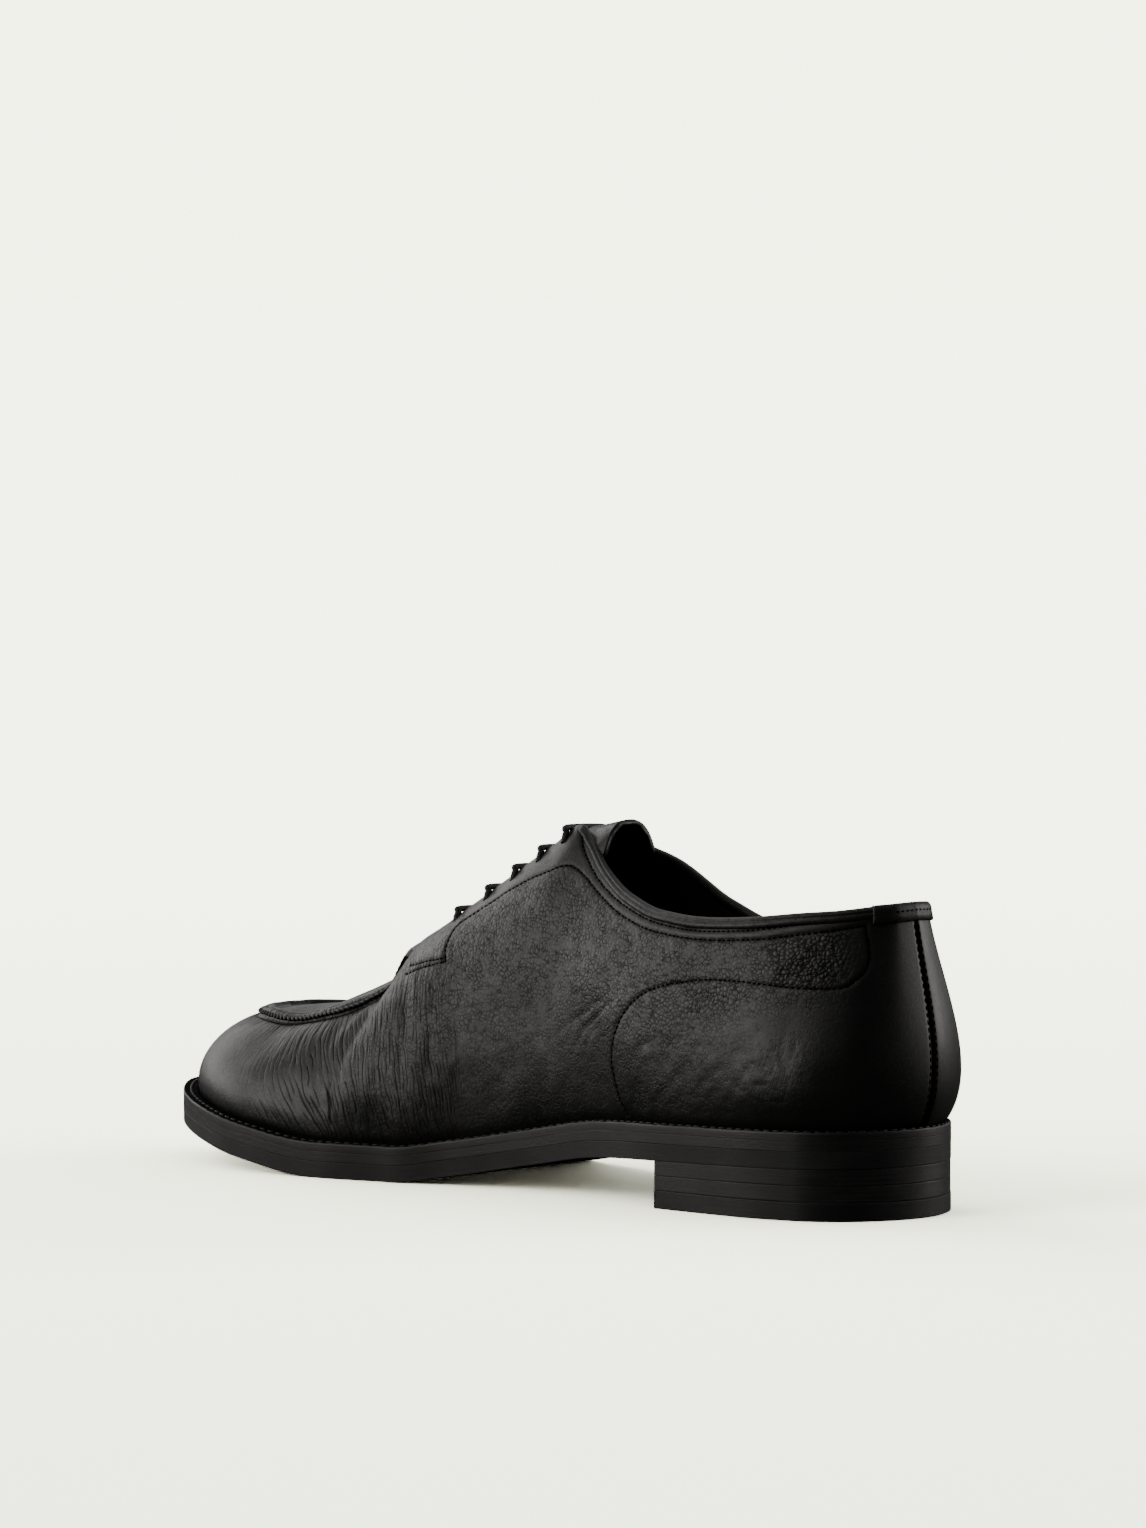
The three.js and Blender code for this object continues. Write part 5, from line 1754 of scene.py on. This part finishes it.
class Stitcher:
    """Lays stitches, notches and ribs along lines with Geometry Nodes."""

    def __init__(self) -> None:
        """Build the trees."""
        self.row_tree = self.row_nodes()
        self.rib_tree = self.rib_nodes()

    @staticmethod
    def open_tree(name: str, numbers: dict) -> tuple[bpy.types.NodeTree, Wiring, dict, dict]:
        """Start a tree of geometry with a material input and numbers."""
        inputs = {"Geometry": "Geometry", "Thread": "Material", **numbers}
        return open_group(name, inputs, ["Geometry"], "Geometry", "Geometry")

    def row_nodes(self) -> bpy.types.NodeTree:
        """One short thread at every step of a line, turned to the line and the leather."""
        tree, w, i, o = self.open_tree("stitch_row", {
            "Pitch": 0.0022, "Length": 0.0018, "Radius": 0.0003, "Slant": 0.0, "Flatness": 0.8})
        curve = w.add("GeometryNodeMeshToCurve", {"Mesh": i["Geometry"]}).outputs[0]
        even = w.add("GeometryNodeResampleCurve", {"Curve": curve, "Length": i["Pitch"]}, mode="LENGTH")
        facing = w.add("GeometryNodeInputNamedAttribute", {"Name": "facing"},
                       data_type="FLOAT_VECTOR").outputs[0]
        tangent = w.add("GeometryNodeInputTangent").outputs[0]
        axes = w.add("FunctionNodeAxesToRotation", {0: tangent, 1: facing},
                     primary_axis="X", secondary_axis="Z").outputs[0]
        slant = w.add("FunctionNodeEulerToRotation", {0: w.joined(0.0, 0.0, i["Slant"])}).outputs[0]
        turn = w.add("FunctionNodeRotateRotation", {0: axes, 1: slant}, rotation_space="LOCAL").outputs[0]
        ball = w.add("GeometryNodeMeshUVSphere", {"Segments": 8, "Rings": 5, "Radius": 0.5}).outputs[0]
        thin = w.times(i["Radius"], 2.0)
        size = w.joined(i["Length"], thin, w.times(thin, i["Flatness"]))
        thread = w.add("GeometryNodeTransform", {"Geometry": ball, "Scale": size}).outputs[0]
        self.finish(w, o, i, even.outputs[0], thread, turn, None)
        return tree

    def rib_nodes(self) -> bpy.types.NodeTree:
        """One six-sided rib at every point, as wide as the point says."""
        tree, w, i, o = self.open_tree("tread_ribs", {"Radius": 0.0004})
        bar = w.add("GeometryNodeMeshCylinder",
                    {"Vertices": 6, "Radius": i["Radius"], "Depth": 1.0}).outputs[0]
        lying = w.add("GeometryNodeTransform", {"Geometry": bar, "Rotation": (math.pi / 2, 0, 0)}).outputs[0]
        wide = w.add("GeometryNodeInputNamedAttribute", {"Name": "wide"}, data_type="FLOAT").outputs[0]
        size = w.joined(1.0, wide, 0.8)
        self.finish(w, o, i, i["Geometry"], lying, None, size)
        return tree

    @staticmethod
    def finish(
        w: Wiring, o: dict, i: dict, points: object, shape: object, turn: object, size: object
    ) -> None:
        """Set the shape on the points, make it real and give it its material."""
        inputs = {"Points": points, "Instance": shape}
        if turn:
            inputs["Rotation"] = turn
        if size:
            inputs["Scale"] = size
        set_out = w.add("GeometryNodeInstanceOnPoints", inputs).outputs[0]
        real = w.add("GeometryNodeRealizeInstances", {"Geometry": set_out}).outputs[0]
        smooth = w.add("GeometryNodeSetShadeSmooth", {"Geometry": real}).outputs[0]
        dressed = w.add("GeometryNodeSetMaterial", {"Geometry": smooth, "Material": i["Thread"]}).outputs[0]
        w.tree.links.new(dressed, o["Geometry"])

    def lay(self, name: str, tree: bpy.types.NodeTree, mesh: bpy.types.Mesh, thread: bpy.types.Material,
            sizes: dict, slot: str) -> bpy.types.Object:
        """Run a tree on a mesh of lines or points and keep the plain result.

        Args:
            name: The piece's name.
            tree: Which tree.
            mesh: The lines or points.
            thread: The finish.
            sizes: The tree's inputs in millimetres, angles in radians and shares as they are.
            slot: The record's material slot.

        Returns:
            The piece.
        """
        holder = placed(name + "_lines", mesh)
        modifier = holder.modifiers.new("rows", "NODES")
        modifier.node_group = tree
        keys = {item.name: item.identifier for item in tree.interface.items_tree if item.in_out == "INPUT"}
        modifier[keys["Thread"]] = thread
        for label, value in sizes.items():
            modifier[keys[label]] = value if label in ("Slant", "Flatness") else value * MM
        made = settled(holder)
        made.name = name
        if not made.materials:
            made.materials.append(thread)
        return present(name, made, slot)

    def row(
        self, name: str, lines: Sequence[tuple[Array, Array]], thread: bpy.types.Material,
        pitch: float, length: float, radius: float, slant: float = 0.0, flatness: float = 0.8,
    ) -> bpy.types.Object:
        """Stitches along one or more lines.

        Args:
            name: The piece's name.
            lines: Points and the leather's directions.
            thread: The finish.
            pitch: Step from stitch to stitch.
            length: Length of a stitch.
            radius: Half its width.
            slant: Its turn from the line.
            flatness: Its height for its width.

        Returns:
            The piece.
        """
        points = np.concatenate([line for line, _ in lines])
        facing = np.concatenate([way for _, way in lines])
        edges, start = [], 0
        for line, _ in lines:
            edges += [(k, k + 1) for k in range(start, start + len(line) - 1)]
            start += len(line)
        mesh = bpy.data.meshes.new(name + "_lines")
        mesh.from_pydata(in_frame(points).tolist(), edges, [])
        layer = mesh.attributes.new("facing", "FLOAT_VECTOR", "POINT")
        layer.data.foreach_set("vector", facing.astype(np.float32).ravel())
        sizes = {"Pitch": pitch, "Length": length, "Radius": radius, "Slant": slant, "Flatness": flatness}
        return self.lay(name, self.row_tree, mesh, thread, sizes, "waxed_cord")

    def ribs(
        self, name: str, centres: Array, widths: Array, rubber: bpy.types.Material, radius: float
    ) -> bpy.types.Object:
        """Ribs across the sole."""
        mesh = bpy.data.meshes.new(name + "_points")
        mesh.from_pydata(in_frame(centres).tolist(), [], [])
        layer = mesh.attributes.new("wide", "FLOAT", "POINT")
        layer.data.foreach_set("value", (widths * MM).astype(np.float32))
        return self.lay(name, self.rib_tree, mesh, rubber, {"Radius": radius}, "sole_rubber")


@dataclass
class Trims:
    """Every row of stitches, and the tread's ribs."""

    upper: Upper
    sole: Sole
    stitcher: Stitcher
    pitch: float = 1.9

    def seams(self, thread: bpy.types.Material) -> None:
        """The fine rows on the quarters, the counter and the back."""
        rows = []
        for side in Side:
            for way in SEAMS:
                rows.append(self.upper.row_on(way, side, 0.0))
        self.stitcher.row("quarter_stitches", rows, thread, self.pitch, 1.5, 0.3, 0.0, 1.0)
        way = [(0.006, s) for s in np.linspace(0.03, 0.9, 12)]
        back = [self.upper.row_on(way, side, 0.0) for side in Side]
        self.stitcher.row("back_seam_stitches", back, thread, 2.2, 1.7, 0.28)

    def tab_row(self, thread: bpy.types.Material) -> None:
        """The row near the top of the heel tab."""
        z = self.upper.form.sizes
        points, ways = [], []
        for q in np.linspace(-0.058, 0.058, 120):
            normal = self.upper.form.side_normal(q, 0.98)
            lift = 0.35 + z.tab_thick * self.upper.tab_share
            points.append(self.upper.form.below(q, 1.6, lift))
            ways.append(normal)
        self.stitcher.row("tab_stitches", [(np.array(points), np.array(ways))], thread, 1.9, 1.25, 0.28)

    def hand_seams(self, thread: bpy.types.Material) -> None:
        """The thick slanting stitches below the apron's raised seam and up the toe."""
        z = self.upper.form.sizes
        for side in Side:
            start, end = (z.throat - 0.012) * side.value, 0.995 * side.value
            row = self.upper.row_below(start, end, 2.5, 0.25)
            self.stitcher.row(f"apron_stitches_{side.name.lower()}", [row], thread, 1.85, 3.2, 0.62,
                              math.radians(-38) * side.value, 1.0)
        way = [(0.9935, s) for s in np.linspace(0.05, 0.93, 9)]
        toe = [self.upper.row_on(way, side, 0.0) for side in Side]
        self.stitcher.row("toe_seam_stitches", toe, thread, 2.6, 2.0, 0.36, math.radians(25))

    def welt_stitches(self, thread: bpy.types.Material) -> None:
        """The row round the welt's top."""
        self.stitcher.row("welt_stitches", [self.sole.welt_row(0.5, 0.1)], thread, 3.4, 2.7, 0.42, 0.12, 0.8)

    def tread(self, rubber: bpy.types.Material) -> None:
        """The ribs under the toe."""
        form = self.sole.form
        x = np.arange(226, 301.5, 1.25)
        q = np.arccos(1 - 2 * x / form.sizes.sole_length) / np.pi
        inner, outer = form.inset(q, q * 0 + 0.6)[:, 1], form.inset(-q, q * 0 + 0.6)[:, 1]
        centres = np.stack([x, (inner + outer) / 2, form.outsole_bottom(x) + 0.02], -1)
        self.stitcher.ribs("tread_ribs", centres, inner - outer, rubber, 0.38)


@dataclass
class Studio:
    """The floor, the lights and the camera."""

    focal: float = 8091
    picture: tuple[int, int] = (1146, 1528)
    place: tuple[float, float, float] = (-1590.1, 1882.4, 288.2)
    axis: tuple[float, float, float] = (0.6766, -0.7339, -0.0604)
    backdrop: Colour = (5.7, 5.8, 4.3)
    tint: Colour = (1.0, 0.972, 0.94)
    front: float = 0.004
    behind: float = 0.42
    overhead: float = 0.15

    def camera(self) -> None:
        """The camera at the photograph's angle."""
        data = bpy.data.cameras.new("camera")
        data.lens = self.focal / max(self.picture) * 36
        data.sensor_width = 36
        data.clip_start, data.clip_end = 0.1, 100
        camera = placed("camera", data)
        camera.location = in_frame(self.place)
        camera.rotation_mode = "QUATERNION"
        camera.rotation_quaternion = Vector(self.axis).to_track_quat("-Z", "Y")
        bpy.context.scene.camera = camera

    def light(self, name: str, place: tuple[float, float, float], spread: float, power: float) -> None:
        """A soft light from far away that looks at the shoe.

        Args:
            name: Its name.
            place: The way it comes from.
            spread: How wide it looks from the shoe, in degrees.
            power: Its strength.
        """
        data = bpy.data.lights.new(name, "SUN")
        data.angle = math.radians(spread)
        data.energy = power
        data.color = self.tint
        light = placed(name, data)
        light.rotation_mode = "QUATERNION"
        light.rotation_quaternion = (-Vector(place)).to_track_quat("-Z", "Y")

    def sky(self) -> None:
        """Soft light all round, bright overhead and behind the shoe; the camera sees the backdrop."""
        world = bpy.data.worlds.new("studio")
        bpy.context.scene.world = world
        world.use_nodes = True
        tree = world.node_tree
        w = Wiring(tree)
        way = w.add("ShaderNodeTexCoord").outputs["Generated"]
        away = Vector((self.axis[0], self.axis[1], 0)).normalized()
        across = w.add("ShaderNodeVectorMath", {0: way, 1: away}, operation="DOT_PRODUCT").outputs["Value"]
        up = w.parts(way)[2]
        level = w.between(across, -0.3, 0.65, self.front, self.behind)
        level = w.scaled(w.between(up, 0.35, 0.95), self.overhead, level)
        soft = w.add("ShaderNodeBackground", {"Color": (1, 1, 0.985, 1), "Strength": level}).outputs[0]
        plain = w.add("ShaderNodeBackground", {"Color": (*self.backdrop, 1), "Strength": 1.0}).outputs[0]
        seen = w.add("ShaderNodeLightPath").outputs["Is Camera Ray"]
        mixed = w.add("ShaderNodeMixShader", {0: seen, 1: soft, 2: plain}).outputs[0]
        tree.links.new(mixed, tree.nodes["World Output"].inputs["Surface"])

    def build(self) -> None:
        """Set the floor, the lights and the camera."""
        mesh = bpy.data.meshes.new("floor")
        mesh.from_pydata([(-60, -60, 0), (60, -60, 0), (60, 60, 0), (-60, 60, 0)], [], [(0, 1, 2, 3)])
        floor = placed("floor", mesh)
        mesh.materials.append(Paper("floor_paper").build())
        self.sky()
        self.light("window", (1.6, -0.2, 0.7), 42, 0.6)
        self.light("front", (1.55, 0.6, 0.13), 36, 0.6)
        self.light("side", (0.8, 1.3, 0.2), 36, 0.95)
        self.light("above", (0.3, 1.2, 0.9), 32, 0.5)
        self.light("back", (-1.0, -0.6, 0.5), 32, 0.35)
        self.light("edge", (-0.5, -1.0, 0.18), 30, 0.7)
        self.camera()


def main() -> None:
    """Build the shoe piece by piece."""
    logging.basicConfig(level=logging.INFO, format="%(message)s")
    form = ShoeForm(Sizes())
    make_groups()
    grained = Leather("grained_calf", pleat=0.16, marked=True).build()
    smooth = Leather("smooth_calf", cell=0.9, pebble=0.03).build()
    plug = Leather("apron_calf", cell=1.0, pebble=0.06, roughness=0.3, coat=0.3).build()
    lining = Leather("lining_calf", (0.006, 0.006, 0.006), (0.012, 0.011, 0.01), 0.6, 0.1, 0.8, 0.03,
                     coat=0.0).build()
    edge = WaxedEdge("waxed_edge").build()
    rubber = SoleRubber("sole_rubber").build()
    cord = WaxedCord("lace_cord").build()
    thread = WaxedCord("linen_thread", (0.001, 0.001, 0.001), (0.002, 0.002, 0.002), 0.8, shine=0.04).build()
    thick = WaxedCord("hand_thread", (0.004, 0.004, 0.004), (0.016, 0.0155, 0.015), 0.4).build()
    # Painted shade: the welt's top leather is darker and duller than its edge, for the shadow under the
    # upper's overhang.
    pressed = Leather("welt_top_leather", (0.002, 0.002, 0.002), (0.006, 0.006, 0.006), 0.75, 0.2, 0.7,
                      0.15, coat=0.0, shine=0.06).build()
    upper = Upper(form)
    upper.shape()
    for side in Side:
        upper.side_panel(side, [grained, lining])
    upper.apron([plug])
    upper.binding([smooth])
    upper.heel_tab([smooth])
    Tongue(form).build([smooth])
    sole = Sole(form)
    sole.welt([edge, pressed])
    for layer in sole.layers():
        layer.build([rubber if layer.slot == "sole_rubber" else edge])
    sole.insole([lining])
    Laces(form).build([cord])
    trims = Trims(upper, sole, Stitcher())
    trims.seams(thread)
    trims.tab_row(thread)
    trims.hand_seams(thick)
    trims.welt_stitches(thick)
    trims.tread(rubber)
    Studio().build()


if __name__ == "__main__":
    main()
